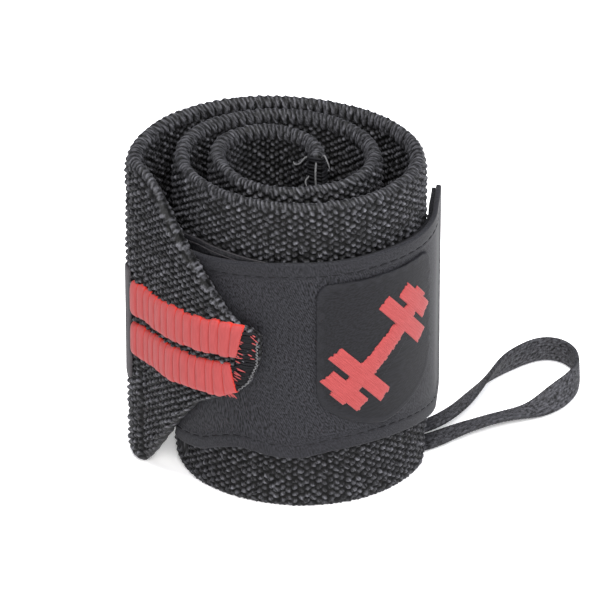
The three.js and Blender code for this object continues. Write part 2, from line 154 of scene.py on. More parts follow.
# Knitted elastic band
# The real band is a 76 mm wide, 3.6 mm thick warp-knitted elastic of charcoal yarn, rolled two
# and a half turns. Each face is covered with slanted stitch lumps, and loops close the long edges.

BAND_WIDTH = 76.0
BAND_THICKNESS = 3.6
# The lower edge gives way over the thumb loop: from this x on, round this y, half width and lift
STRAP_PASS = (12.5, 2.0, 5.6)
STRAP_LIFT = 4.2
ROLL_RADIUS = 34.3
POINT_LENGTH = 39.0
CLEARANCE = 0.3
TAB_LAYER = 1.0
TAB_STACK = 2 * TAB_LAYER + 3 * CLEARANCE
# The stitches' pitch along and up, as measured in the photograph, and the edge loops' pitch
WALE_PITCH = 2.5
COURSE_PITCH = 1.6
RIM_PITCH = 1.0
# A stitch lump's half length, half width and slant in degrees on the outer and the inner face, and
# how much its place along, its height and its slant vary
OUTER_LUMP = (0.8, 0.55, 27)
INNER_LUMP = (0.78, 0.56, 14)
LUMP_WANDER = (0.4, 0.22, 26)
# The edge's rounding, the lumps' height over the body and how deep their feet lie in it
KNIT_ROUNDING = 1.7
LUMP_HEIGHT = 0.96
LUMP_FOOT = 0.58
# The long edges' looped selvedge starts past the pointed end and pulls both faces in
SELVEDGE_START = 27
SELVEDGE_FADE = 8
SELVEDGE_PINCH = 0.42
# The crease where the folded point was pressed, close to its fold and below the stripes
CREASE_LENGTH = 35.1
CREASE_TOP = 29
CREASE_DEPTH = 0.6
# The roll's foot spreads at the front and the right, below the tab
FOOT_FLARE = 1.5
FOOT_HEIGHT = 11.0

# Turns clockwise from the left, and the path's radius there as a share of the roll's radius
COIL_ROWS = np.array([
    (0.0, 1.0), (0.05, 0.974), (0.1, 0.939), (0.2, 0.857), (0.3, 0.8), (0.4, 0.831),
    (0.5, 0.866), (0.6, 0.808), (0.7, 0.729), (0.8, 0.668), (0.9, 0.656), (1.0, 0.688),
    (1.1, 0.7), (1.2, 0.656), (1.35, 0.604), (1.5, 0.574), (1.6, 0.539), (1.7, 0.49),
    (1.8, 0.466), (1.925, 0.431), (2.0, 0.452), (2.1, 0.484), (2.2, 0.437), (2.3, 0.327),
    (2.4, 0.242), (2.5, 0.19),
]).T

# The pointed end from above: turns, and the share of the way out from the tip to the roll's radius
POINT_ROWS = np.array([
    (-0.219, 0.0), (-0.19, -0.09), (-0.16, -0.16), (-0.125, -0.17), (-0.092, -0.04),
    (-0.065, 0.09), (-0.045, 0.3), (-0.027, 0.7), (-0.012, 0.95),
]).T

# The pointed end from the front, by its length from the tip: low edge and high edge as shares of
# the band's width, climb of its middle as a share of that width, thickness as a share of the band's
POINT_EDGE_ROWS = np.array([
    (0.0, 0.51, 0.605, 0.016, 0.68), (0.05, 0.445, 0.618, 0.016, 0.7),
    (0.13, 0.402, 0.628, 0.016, 0.76), (0.22, 0.375, 0.665, 0.014, 0.85),
    (0.41, 0.32, 0.772, 0.006, 1.0), (0.65, 0.176, 0.895, 0.0, 1.0),
    (0.82, 0.062, 0.965, 0.0, 1.0), (0.9, 0.012, 0.995, 0.0, 1.0),
    (0.95, 0.0, 1.0, 0.0, 1.0),
]).T


def smooth_through(inputs, outputs, at):
    """Values of a smooth line through a table's rows."""
    last = len(inputs) - 1
    before = np.maximum(np.arange(last + 1) - 1, 0)
    after = np.minimum(np.arange(last + 1) + 1, last)
    slopes = (outputs[after] - outputs[before]) / (inputs[after] - inputs[before])
    place = np.clip(at, inputs[0], inputs[-1])
    row = np.clip(np.searchsorted(inputs, place) - 1, 0, last - 1)
    span = inputs[row + 1] - inputs[row]
    t = (place - inputs[row]) / span
    return (
        (2 * t ** 3 - 3 * t ** 2 + 1) * outputs[row] + (t ** 3 - 2 * t ** 2 + t) * slopes[row] * span
        + (3 * t ** 2 - 2 * t ** 3) * outputs[row + 1] + (t ** 3 - t ** 2) * slopes[row + 1] * span
    )


class Way:
    """A way through plan points, read by the length along it. Its side is to the left of travel."""

    def __init__(self, x, y):
        step = np.hypot(np.diff(x), np.diff(y))
        self.lengths = np.concatenate([[0], np.cumsum(step)])
        self.total = self.lengths[-1]
        self.x, self.y = x, y
        heading = np.unwrap(np.arctan2(np.gradient(y, self.lengths), np.gradient(x, self.lengths)))
        smoothing = np.ones(7) / 7
        padded = np.pad(heading, 3, mode="edge")
        self.heading = np.convolve(padded, smoothing, mode="valid")

    def at(self, length):
        """Point x and y, and side x and y, at lengths."""
        x = np.interp(length, self.lengths, self.x)
        y = np.interp(length, self.lengths, self.y)
        heading = np.interp(length, self.lengths, self.heading)
        return x, y, -np.sin(heading), np.cos(heading)

    def points(self, length, out, up):
        """Points in the part's frame at lengths, out to the side and up."""
        x, y, side_x, side_y = self.at(length)
        return np.stack(np.broadcast_arrays(
            x + side_x * out + ROLL_CENTRE[0], y + side_y * out + ROLL_CENTRE[1], up,
        ), axis=-1)


def coil_radius(turn):
    """The band's own radius at turns of the coil."""
    return ROLL_RADIUS * smooth_through(*COIL_ROWS, turn)


tip_turn = POINT_ROWS[0, 0]
tip_radius = coil_radius(1 + tip_turn) + BAND_THICKNESS + TAB_STACK
plan_turns = np.concatenate([POINT_ROWS[0], COIL_ROWS[0]])
plan_radii = np.concatenate([
    tip_radius + POINT_ROWS[1] * (ROLL_RADIUS - tip_radius), ROLL_RADIUS * COIL_ROWS[1],
])


def band_radius(turn):
    """The band's radius at turns of the point and the coil."""
    return smooth_through(plan_turns, plan_radii, turn)


band_turns = np.linspace(tip_turn, COIL_ROWS[0, -1], 1360)
band_angles = math.pi - 2 * math.pi * band_turns
band_way = Way(
    band_radius(band_turns) * np.cos(band_angles), band_radius(band_turns) * np.sin(band_angles)
)


def length_at_turn(turn):
    """Length along the band at turns of the coil."""
    return np.interp(turn, band_turns, band_way.lengths)


def point_edge(length, column):
    """A column of the pointed end's table at lengths along the band."""
    return np.interp(length / POINT_LENGTH, POINT_EDGE_ROWS[0], POINT_EDGE_ROWS[column])


def sheet_mesh(name, points, along, girth, values=None):
    """A grid primitive whose corners are moved to stations x ring points, joined into a tube and
    filled at its ends. Along and girth are its cloth coordinates in mm."""
    stations, ring = points.shape[:2]
    bpy.ops.object.select_all(action="DESELECT")
    bpy.ops.mesh.primitive_grid_add(
        x_subdivisions=ring, y_subdivisions=stations - 1, size=1, calc_uvs=True,
    )
    piece = bpy.context.object
    piece.name = name
    piece.data.name = name
    mesh = piece.data
    points = np.concatenate([points, points[:, :1]], axis=1)
    mesh.vertices.foreach_set("co", (points.reshape(-1, 3) * MM).astype(np.float32).ravel())
    corner = np.empty(len(mesh.loops), dtype=np.int32)
    mesh.loops.foreach_get("vertex_index", corner)
    uvs = np.stack(np.broadcast_arrays(along, girth), axis=-1).reshape(-1, 2)
    mesh.uv_layers[0].name = "cloth"
    mesh.uv_layers[0].data.foreach_set("uv", (uvs[corner] * MM).astype(np.float32).ravel())
    if values is not None:
        values = np.concatenate([values, values[:, :1]], axis=1)
        height = mesh.attributes.new("height", "FLOAT", "POINT")
        height.data.foreach_set("value", values.astype(np.float32).ravel())
    mesh.update()
    bpy.ops.object.mode_set(mode="EDIT")
    bpy.ops.mesh.select_all(action="SELECT")
    bpy.ops.mesh.remove_doubles(threshold=1e-6)
    bpy.ops.mesh.select_all(action="DESELECT")
    bpy.ops.mesh.select_mode(type="EDGE")
    bpy.ops.mesh.select_non_manifold()
    bpy.ops.mesh.edge_face_add()
    bpy.ops.mesh.select_all(action="SELECT")
    bpy.ops.mesh.normals_make_consistent(inside=False)
    bpy.ops.object.mode_set(mode="OBJECT")
    bpy.ops.object.shade_smooth()
    return piece


def ring_of(front, back):
    """Rings round a flat tube: across its front, and the other way across its back."""
    return np.concatenate([front, back[:, -2:0:-1]], axis=1)


def rounded(from_edge, radius):
    """Share of its thickness that a rounded edge has at distances from it."""
    return np.sqrt(np.clip(1 - (1 - np.clip(from_edge / radius, 0, 1)) ** 2, 0, 1))


def scatter(row, column, salt):
    """A steady number from 0 to 1 for each stitch, the same on every run."""
    mixed = np.sin(row * 12.9898 + column * 78.233 + salt * 37.719) * 43758.5453
    return mixed - np.floor(mixed)


def stitch_lumps(along, up, face):
    """Height from 0 to 1 of the knit's stitch lumps in staggered rows: on the outer face slanted
    in turn to one side and the other, on the inner face rounder."""
    half_up = COURSE_PITCH / 2
    row = np.round(up / half_up)
    height = np.zeros_like(along)
    reach_long, reach_short, slant = OUTER_LUMP if face > 0 else INNER_LUMP
    vary_along, vary_up, vary_slant = LUMP_WANDER
    for step in (-1, 0, 1):
        near = row + step
        shift = WALE_PITCH / 2 * np.mod(near, 2)
        column = np.round((along - shift) / WALE_PITCH)
        across = along - shift - column * WALE_PITCH + vary_along * (scatter(near, column, 1) - 0.5)
        rise = up - near * half_up + vary_up * (scatter(near, column, 2) - 0.5)
        turned = slant + vary_slant * (scatter(near, column, 3) - 0.5)
        lean = np.radians(turned) * np.where(np.mod(near, 2) > 0.5, 1, -1)
        long_way = across * np.cos(lean) + rise * np.sin(lean)
        short_way = rise * np.cos(lean) - across * np.sin(lean)
        reach = (long_way / reach_long) ** 2 + (short_way / reach_short) ** 2
        full = 0.66 + 0.46 * scatter(near, column, 4)
        height = np.maximum(height, full * np.sqrt(np.clip(1 - reach, 0, 1)))
    return height


def knit_rows(low_fine, high_fine):
    """Heights of the mesh's rows on one face: dense at the edges and in the parts that show."""
    rim = np.array([0.0, 0.1, 0.34, 0.64])
    fine = COURSE_PITCH / 4.6
    low = np.arange(0.9, low_fine, fine)
    high = np.arange(BAND_WIDTH - 0.9, BAND_WIDTH - high_fine, -fine)
    coarse = np.arange(low[-1] + 1.5, high[-1] - 0.7, 1.5) if low_fine + high_fine < 76 else []
    rows = np.concatenate([rim, low, coarse, high, BAND_WIDTH - rim])
    return np.unique(np.round(rows, 4))


def knit_piece(name, start, end, outer_rows, inner_rows):
    """A stretch of the band between two lengths, with its stitches standing out of both faces."""
    step = WALE_PITCH / 7
    lengths = np.arange(round(start / step), round(end / step) + 1) * step
    lengths = np.clip(lengths, 0, band_way.total)
    x, y, _, _ = band_way.at(lengths)
    floor_edge = BAND_WIDTH * point_edge(lengths, 1)[:, None]
    high = BAND_WIDTH * point_edge(lengths, 2)[:, None]
    off_strap = np.maximum(np.abs(y - STRAP_PASS[1]) - STRAP_PASS[2], STRAP_PASS[0] - x)
    strap_lift = STRAP_LIFT * np.clip(1 - off_strap / 2.5, 0, 1)[:, None]
    thick = BAND_THICKNESS * point_edge(lengths, 4)[:, None]
    faces = []
    for face, rows in ((1, outer_rows), (-1, inner_rows)):
        share = rows / BAND_WIDTH
        low = floor_edge + strap_lift
        up = floor_edge + (high - floor_edge) * share
        up = up + strap_lift * np.clip(1 - rows / 15, 0, 1) ** 2
        from_edge = np.minimum(up - low, high - up)
        along = np.broadcast_to(lengths[:, None], up.shape)
        round_off = rounded(from_edge, KNIT_ROUNDING)
        # The selvedge: loops like a ladder along the face, and a rim that is twisted like a rope
        selvedge = np.clip((lengths[:, None] - SELVEDGE_START) / SELVEDGE_FADE, 0, 1)
        pinch = SELVEDGE_PINCH * selvedge * (1 - np.clip(from_edge / 3.6, 0, 1)) ** 1.5
        wave = along / (2 * RIM_PITCH) - np.round(along / (2 * RIM_PITCH))
        ladder = 1 - np.exp(-((np.abs(wave) - 0.5) / 0.13) ** 2)
        lumps = stitch_lumps(along, up, face)
        ladder_end = 2.2 if face < 0 else 0.5
        edge_share = 1 - selvedge * (1 - np.clip((from_edge - ladder_end) / 0.8, 0, 1))
        rim_share = np.clip((from_edge - 0.5) / 0.5, 0, 1)
        loop = np.round(along / RIM_PITCH)
        twist = along / RIM_PITCH + face * from_edge / KNIT_ROUNDING + 0.25 * scatter(loop, 0, 5)
        rope = 0.6 + 0.4 * np.cos(2 * math.pi * twist)
        rim_height = ladder * (0.55 + 0.45 * rope) * rim_share + rope * (1 - rim_share)
        height = lumps * edge_share + rim_height * (1 - edge_share)
        # The pressed crease lowers the lumps, and through their height it also paints shade into the
        # crease
        pressed = CREASE_DEPTH * np.clip((CREASE_TOP - up) / 5, 0, 1) if face > 0 else 0
        crease = pressed * np.exp(-((along - CREASE_LENGTH) / 0.6) ** 2)
        height = height * (1 - 0.8 * crease)
        # How far this face stands from the band's middle
        body = np.where(face > 0, thick - BAND_THICKNESS / 2, BAND_THICKNESS / 2)
        stand = body - LUMP_FOOT - pinch - crease + LUMP_HEIGHT * height
        across = face * stand * round_off
        rim_ridge = 0.5 + 0.5 * np.cos(math.pi * along / RIM_PITCH)
        ragged = 0.2 * scatter(loop, 0, 6)
        scallop = (0.32 * rim_ridge + ragged) * selvedge * np.clip(1 - from_edge / 1.2, 0, 1)
        lifted = up + np.where(up - low < high - up, -scallop, scallop)
        # The foot's spread moves both faces outwards together
        foot = FOOT_FLARE * np.clip((FOOT_HEIGHT - up) / FOOT_HEIGHT, 0, 1) ** 1.2
        foot = foot * np.interp(lengths, flare_lengths, (0, 1, 1, 0))[:, None]
        points = band_way.points(lengths[:, None], across + foot, np.maximum(lifted, 0.0))
        # Near the selvedge the height is lowered once more, which only deepens the painted shade on the
        # rims
        height = height * (0.87 + 0.13 * edge_share)
        faces.append((points, up, height))
    outer, inner = faces
    points = ring_of(outer[0], inner[0])
    heights = ring_of(outer[2], inner[2])
    girth = np.concatenate([outer[1], 2 * BAND_WIDTH - inner[1][:, ::-1]], axis=1)
    piece = sheet_mesh(name, points, lengths[:, None], girth, heights)
    piece.data.materials.append(knit)
    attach(piece, "root")
    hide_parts("band")


# Textured polyester and rubber yarn, warp-knitted: matt charcoal, with painted shade that turns it
# nearly black between the stitches, and a fibre grain with painted highlights along each lump. The
# fibre grain is about 1 mm, drawn coarser than the real fibres so that it shows, and lighter and
# darker patches are 8 mm across
knit, tree, shader = new_material("knitted_elastic_yarn")
cloth = add_node(tree, "UVMap", uv_map="cloth")
height = add_node(tree, "Attribute", attribute_name="height")
# The stitches' height paints shade into the valleys between them: the lower, the darker, down to nearly
# black
deep = add_node(tree, "MapRange", {"Value": height.outputs["Fac"], "From Min": 0.2, "From Max": 0.95})
fibres = add_node(tree, "TexNoise", {"Vector": cloth, "Scale": 950.0, "Detail": 3.0, "Roughness": 0.75})
patches = add_node(tree, "TexNoise", {"Vector": cloth, "Scale": 120.0, "Detail": 2.0})
# The fibre grain's light flecks are painted highlights
glint = add_node(tree, "MapRange", {"Value": fibres, "From Min": 0.39, "From Max": 0.64})
lit = add_node(
    tree, "Mix", {"Factor": glint, "A": linear("#070708"), "B": linear("#626267")}, data_type="RGBA",
)
falloff = add_node(tree, "Math", {0: deep, 1: 1.5}, operation="POWER")
painted_valley_shade = add_node(tree, "Mix", {"Factor": falloff, "A": linear("#020202"), "B": lit}, data_type="RGBA")
worn = add_node(
    tree, "MapRange", {"Value": patches, "From Min": 0.3, "From Max": 0.7, "To Min": 0.88, "To Max": 1.1},
)
yarn = add_node(tree, "HueSaturation", {"Color": painted_valley_shade, "Value": worn})
bump = add_node(tree, "Bump", {"Height": fibres, "Strength": 0.8, "Distance": 0.0004})
set_inputs(tree, shader, {
    "Base Color": yarn, "Normal": bump, "Roughness": 0.5, "Specular IOR Level": 0.15,
    "Sheen Weight": 0.02, "Sheen Roughness": 0.5,
})

flare_lengths = length_at_turn(np.array([0.34, 0.5, 0.9, 1.0]))
full_rows = knit_rows(38, 38)
top_rows = knit_rows(4, 27)
front_length = float(length_at_turn(0.04))
side_length = float(length_at_turn(0.42))
outer_length = float(length_at_turn(0.93))
second_length = float(length_at_turn(1.7))
knit_piece("band_point", 0, front_length, full_rows, full_rows)
knit_piece("band_outer_back", front_length, side_length, full_rows, top_rows)
knit_piece("band_outer_front", side_length, outer_length, full_rows, top_rows)
knit_piece("band_second_turn", outer_length, second_length, top_rows, top_rows)
knit_piece("band_inner_turn", second_length, band_way.total, top_rows, top_rows)


# Red ribbed stripes
# Two 8.8 mm stripes of coral red yarn are knitted into the middle of the band as raised ribs that
# run across them. They are plump like cord, and the black ground shows in a gap between them.

STRIPE_WIDTH = 8.8
STRIPE_SPACING = 1.6
STRIPES_BELOW_MIDDLE = 0.6
# How far a rib and the groove beside it stand out of the band
RIB_TOP = 1.15
RIB_GROOVE = 0.6
STRIPE_END_TURN = 0.46
# The folded edge at the left: where it starts, how long it hides the ribs and how deep they sink
FOLD_START = 37.6
FOLD_BARE = 4.8
SINK_AT_FOLD = 1.4
RIBS_TO_FOLD = 14
# Where each stripe starts from the tip, and how far its last ribs are drawn aslant
UPPER_START, UPPER_SLANT = 4.3, 1.9
LOWER_START, LOWER_SLANT = 5.8, -1.6

# Coral red textured yarn laid side by side: matt, with painted bounce light that turns the folds
# a brighter, stronger red. Its strands are about 0.4 mm wide and 4 mm long
rib_red, tree, shader = new_material("ribbed_red_yarn")
cloth = add_node(tree, "UVMap", uv_map="cloth")
height = add_node(tree, "Attribute", attribute_name="height")
strand_map = add_node(tree, "Mapping", {"Vector": cloth, "Scale": (2600.0, 260.0, 1.0)})
strands = add_node(tree, "TexNoise", {"Vector": strand_map, "Scale": 1.0, "Detail": 3.0, "Roughness": 0.6})
lit = add_node(
    tree, "Mix", {"Factor": strands, "A": linear("#7C2A29"), "B": linear("#974141")}, data_type="RGBA",
)
# Painted bounce light: where the rib height is low, in the folds, the colour turns to the brighter red
groove = add_node(tree, "MapRange", {"Value": height.outputs["Fac"], "From Min": 0.1, "From Max": 0.5})
red = add_node(tree, "Mix", {"Factor": groove, "A": linear("#AE1D0A"), "B": lit}, data_type="RGBA")
bump = add_node(tree, "Bump", {"Height": strands, "Strength": 0.5, "Distance": 0.0002})
set_inputs(tree, shader, {
    "Base Color": red, "Normal": bump, "Roughness": 0.8, "Specular IOR Level": 0.18,
    "Sheen Weight": 0.1,
})


def crowned(across, power):
    """Share of its height that a crown has from -1 to 1 across it. A higher power is squarer."""
    return np.sqrt(np.clip(1 - np.abs(across) ** power, 0, 1))


def ribbed_stripe(name, low, start, slant, seed):
    """One stripe on the band's outer face: a shallow tube whose outer side swells at each rib. Its
    last ribs are drawn slanting where they are gathered into the tip."""
    random = np.random.default_rng(seed)
    end = float(length_at_turn(STRIPE_END_TURN))
    pitch = (FOLD_START - start) / RIBS_TO_FOLD
    ribs = int((end - start) / pitch)
    steps = (1 - np.cos(np.linspace(0, math.pi, 13)[:-1])) / 2
    rib = np.append((np.arange(ribs)[:, None] + steps).ravel(), ribs - 1e-6)
    rib_edges = start + pitch * np.arange(ribs + 1)
    uneven = random.uniform(-0.26, 0.26, ribs + 1)
    uneven[[0, RIBS_TO_FOLD, -1]] = 0
    lengths = np.interp(rib, np.arange(ribs + 1), rib_edges + uneven)
    number = rib.astype(int)
    past_fold = (number + 0.5) * pitch + start - FOLD_START
    shown = np.where((past_fold > 0) & (past_fold < FOLD_BARE), 0.0, 1.0)
    flattened = np.clip((lengths - FOLD_START - FOLD_BARE) / 6, 0, 1) * 0.75 + 0.25
    flattened = np.where(lengths < FOLD_START + 1, 1.0, flattened)
    swell = (1 - np.abs(2 * (rib - number) - 1) ** 4) ** 0.5 * shown
    fullness = random.uniform(0.88, 1.06, ribs)[number]
    raise_low = random.uniform(-0.3, 0.3, ribs)[number]
    raise_high = random.uniform(-0.3, 0.3, ribs)[number]
    near_edge = np.array([0, 0.02, 0.06, 0.12])
    across_rows = np.concatenate([near_edge, np.arange(2, 9) / 10, [0.88, 0.94, 0.98, 1]])
    face = BAND_THICKNESS * (point_edge(lengths, 4) - 0.5)
    lift = BAND_WIDTH * point_edge(lengths, 3)
    edge = BAND_WIDTH * point_edge(lengths, 1) + 0.5
    bottom = np.maximum(low + lift + raise_low * swell - 0.3 * swell + 0.2, edge)
    top = low + lift + STRIPE_WIDTH + raise_high * swell + 0.3 * swell - 0.2
    crown = crowned(2 * across_rows - 1, 5)
    height = crown * (swell * fullness)[:, None]
    sunk = face[:, None] - SINK_AT_FOLD * (1 - shown[:, None])
    outer_out = sunk - 0.25 + crown * (0.25 + RIB_GROOVE * flattened[:, None])
    outer_out = outer_out + (RIB_TOP - RIB_GROOVE) * height * flattened[:, None]
    inner_out = np.broadcast_to(sunk - 0.5, (len(lengths), 2))
    out = np.concatenate([outer_out, inner_out], axis=1)
    ring_rows = np.concatenate([across_rows, [0.9, 0.1]])
    up = bottom[:, None] + (top - bottom)[:, None] * ring_rows
    drawn = slant * np.exp(-(lengths - start) / 2.6)[:, None] * (ring_rows - 0.5)
    points = band_way.points(lengths[:, None] - drawn, out, up)
    girth = np.concatenate([up, up[:, :1]], axis=1)
    # The ribs' height also paints bounce light: the folds between the ribs and along the edges turn a
    # brighter red
    heights = np.concatenate([height, np.zeros_like(inner_out)], axis=1)
    piece = sheet_mesh(name, points, lengths[:, None], girth, heights)
    piece.data.materials.append(rib_red)
    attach(piece, "root")
    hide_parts(name)


stripe_middle = BAND_WIDTH / 2 - STRIPES_BELOW_MIDDLE
upper_low = stripe_middle + STRIPE_SPACING / 2
lower_low = stripe_middle - STRIPE_SPACING / 2 - STRIPE_WIDTH
ribbed_stripe("stripe_upper", upper_low, UPPER_START, UPPER_SLANT, 3)
ribbed_stripe("stripe_lower", lower_low, LOWER_START, LOWER_SLANT, 4)


# Folded edge at the left
# Where the point turns back on the roll, its lining shows as a narrow smooth grey edge that stands
# along the fold beside the stripes.

FOLD_EDGE_LOW = 21.0
FOLD_EDGE_HIGH = 49.0
FOLD_EDGE_PLACE = 40.1
FOLD_EDGE_HALF_WIDTH = 1.7
FOLD_EDGE_HALF_THICKNESS = 0.4

# Tightly woven dark grey lining tape, smoother than the knit, with threads about 0.55 mm apart
lining_grey, tree, shader = new_material("lining_tape_grey")
cloth = add_node(tree, "UVMap", uv_map="cloth")
threads = add_node(tree, "TexNoise", {"Vector": cloth, "Scale": 1800.0, "Detail": 2.0})
tape_grey = add_node(
    tree, "Mix", {"Factor": threads, "A": linear("#1C1A1C"), "B": linear("#393538")}, data_type="RGBA",
)
set_inputs(tree, shader, {"Base Color": tape_grey, "Roughness": 0.8})

edge_rows = np.arange(FOLD_EDGE_LOW, FOLD_EDGE_HIGH + 0.1, 0.8)
girth = np.linspace(0, 2 * math.pi, 15)[:-1]
wander = 0.1 * np.sin(edge_rows / 2.3) + 0.06 * np.sin(edge_rows / 0.9)
full = np.clip(np.minimum(edge_rows - FOLD_EDGE_LOW, FOLD_EDGE_HIGH - edge_rows) / 0.5 + 0.8, 0.8, 1)
flat_across = np.sign(np.cos(girth)) * np.abs(np.cos(girth)) ** 0.5
flat_out = np.sign(np.sin(girth)) * np.abs(np.sin(girth)) ** 0.4
aside = FOLD_EDGE_HALF_WIDTH * flat_across * full[:, None]
place = FOLD_EDGE_PLACE + wander[:, None] - aside
bulge = FOLD_EDGE_HALF_THICKNESS * flat_out * full[:, None]
out = BAND_THICKNESS / 2 + 0.1 + bulge
points = band_way.points(place, out, edge_rows[:, None])
fold_edge = sheet_mesh("fold_edge", points, edge_rows[:, None], np.arange(15.0) * 0.4)
fold_edge.data.materials.append(lining_grey)
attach(fold_edge, "root")


# Closure tab
# The tab's outer layer is a dark grey polyester twill, 49 mm wide, sewn onto the pointed end. Its
# long edges are turned in as hems with a stitch line, and the lower one waves from being sewn.

TAB_WIDTH = 49.0
TAB_MIDDLE = 38.7
TAB_FREE_LENGTH = 11.0
TAB_TANGENT_TURN = 0.505
TAB_INNER_TURN = 0.93
HEM_WIDTH = 3.6
HEM_STITCH_INSET = 0.35
TWILL_PITCH = 0.62
TWILL_STEP = 0.7
# How far the twill's upper edge falls towards the tab's left end
TWILL_DROP = 1.5

# How far the tab's long edges wander, as shares of its width: turn, low edge, high edge
TAB_EDGE_ROWS = np.array([
    (0.44, -0.062, 0.0), (0.5, -0.052, -0.002), (0.56, -0.008, -0.004), (0.62, 0.022, 0.006),
    (0.69, 0.018, 0.004), (0.735, -0.012, 0.004), (0.77, -0.01, 0.0), (0.81, 0.006, -0.006),
    (0.85, -0.034, -0.014), (0.875, -0.074, -0.02), (0.91, -0.09, -0.03),
]).T

tab_turns = np.linspace(TAB_TANGENT_TURN, TAB_INNER_TURN, 214)
tab_radii = np.where(
    tab_turns <= 1 + tip_turn,
    coil_radius(tab_turns) + BAND_THICKNESS / 2 + TAB_STACK - CLEARANCE,
    band_radius(tab_turns - 1) - BAND_THICKNESS / 2 - CLEARANCE,
)
tab_angles = math.pi - 2 * math.pi * tab_turns
tab_x = tab_radii * np.cos(tab_angles)
tab_y = tab_radii * np.sin(tab_angles)
# The free end runs straight on from the tab's first points
straight = np.array([tab_x[0] - tab_x[2], tab_y[0] - tab_y[2]])
straight /= np.hypot(*straight)
free = np.arange(TAB_FREE_LENGTH, 0.2, -0.5)
tab_way = Way(
    np.concatenate([tab_x[0] + straight[0] * free, tab_x]),
    np.concatenate([tab_y[0] + straight[1] * free, tab_y]),
)


def tab_turn_at(length):
    """Turns clockwise from the left at lengths of the tab."""
    x, y, _, _ = tab_way.at(length)
    return (math.pi - np.arctan2(y, x)) / (2 * math.pi)


def tab_edge(length, column, rest):
    """Height of one of the tab's long edges."""
    turns = tab_turn_at(length)
    return rest + TAB_WIDTH * smooth_through(TAB_EDGE_ROWS[0], TAB_EDGE_ROWS[column], turns)


def tab_low(length):
    """Height of the tab's lower edge."""
    return tab_edge(length, 1, TAB_MIDDLE - TAB_WIDTH / 2)


def tab_high(length):
    """Height of the tab's upper edge."""
    return tab_edge(length, 2, TAB_MIDDLE + TAB_WIDTH / 2)


def twill_drop(length):
    """How far the twill's upper edge falls below the hook tape's towards the tab's left end."""
    return TWILL_DROP * np.clip((tab_turn_at(length) - 0.74) / 0.13, 0, 1) ** 1.2


# Filament polyester twill: a fine diagonal rib, a little sheen, and a painted highlight that draws it
# paler where the hems and its waves stand proud.
# The real rib is about 0.4 mm and its threads finer, too fine for this picture, so the rib is drawn
# at 0.62 mm and the speckle of its threads at 0.5 mm
twill, tree, shader = new_material("polyester_twill")
cloth = add_node(tree, "UVMap", uv_map="cloth")
diagonal = add_node(tree, "Mapping", {"Vector": cloth, "Rotation": (0.0, 0.0, math.radians(38))})
ribs = add_node(
    tree, "TexWave",
    {
        "Vector": diagonal, "Scale": 2 * math.pi / (20 * TWILL_PITCH * MM),
        "Distortion": 0.6, "Detail": 2.0, "Detail Scale": 3.0,
    },
    wave_type="BANDS", bands_direction="X",
)
speckle = add_node(tree, "TexNoise", {"Vector": cloth, "Scale": 2000.0, "Detail": 2.0, "Roughness": 0.6})
broad = add_node(tree, "TexNoise", {"Vector": cloth, "Scale": 60.0, "Detail": 2.0})
faint_ribs = add_node(tree, "MapRange", {"Value": ribs.outputs["Fac"], "To Min": 0.8})
weave = add_node(tree, "Math", {0: faint_ribs, 1: speckle}, operation="MULTIPLY")
thread_tone = add_node(tree, "MapRange", {"Value": weave, "From Min": 0.31, "From Max": 0.58})
threads = add_node(
    tree, "Mix", {"Factor": thread_tone, "A": linear("#050506"), "B": linear("#2B2B2F")}, data_type="RGBA",
)
proud = add_node(tree, "Attribute", attribute_name="height")
# Painted highlight: where the hems and the cloth's waves stand proud, the twill is drawn paler
proud_highlight_share = add_node(tree, "Math", {0: proud.outputs["Fac"], 1: 0.35}, operation="MULTIPLY")
painted_proud_highlight = add_node(
    tree, "Mix", {"Factor": proud_highlight_share, "A": threads, "B": linear("#1F1F22")}, data_type="RGBA",
)
rubbed = add_node(
    tree, "MapRange", {"Value": broad, "From Min": 0.3, "From Max": 0.7, "To Min": 0.92, "To Max": 1.08},
)
surface = add_node(tree, "HueSaturation", {"Color": painted_proud_highlight, "Value": rubbed})
bump = add_node(tree, "Bump", {"Height": ribs.outputs["Fac"], "Strength": 0.12, "Distance": 0.00012})
set_inputs(tree, shader, {
    "Base Color": surface, "Normal": bump, "Roughness": 0.62, "Specular IOR Level": 0.09,
    "Sheen Weight": 0.03,
})


def hem_rise(from_edge):
    """How far a hem stands proud, from 0 to 1, with the groove of its stitch line."""
    raised = 1 - np.clip((from_edge - HEM_WIDTH) / 0.7, 0, 1)
    groove = np.exp(-((from_edge - HEM_WIDTH + HEM_STITCH_INSET) / 0.35) ** 2)
    return raised - 0.75 * groove


def soft_waves(length, up, from_edge):
    """The twill's hems and its slight puckers."""
    near_hem = np.exp(-((from_edge - 4.5) / 4) ** 2)
    pucker = 0.5 * np.sin(length / 3.1 + 1.5 * np.sin(length / 7.3)) * near_hem
    slack = 0.6 * np.sin(length / 9.0 + up / 14.0) * np.sin(up / 11.0)
    return hem_rise(from_edge) + 0.35 * pucker + 0.5 * slack


lengths = np.arange(0, tab_way.total + TWILL_STEP / 2, TWILL_STEP)
margin = np.array([0, 0.1, 0.3, 0.6, 1.0, 1.6, 2.2, 2.7, 3.0, 3.25, 3.5, 3.8, 4.2, 4.6])
middle = np.arange(5.2, TAB_WIDTH - 5.1, TWILL_STEP)
rows = np.concatenate([margin, middle, TAB_WIDTH - margin[::-1]]) / TAB_WIDTH
low = tab_low(lengths)[:, None]
high = (tab_high(lengths) - twill_drop(lengths))[:, None]
up = low + (high - low) * rows
from_edge = np.minimum(up - low, high - up)
along = np.broadcast_to(lengths[:, None], up.shape)
height = soft_waves(along, up, np.minimum(from_edge, along + 0.01))
round_off = rounded(from_edge, 0.4)
half = TAB_LAYER / 2
front = tab_way.points(along, (half + 0.2 * height) * round_off - half, up)
back = tab_way.points(along, -half * round_off - half, up)
heights = ring_of(height, np.zeros_like(height))
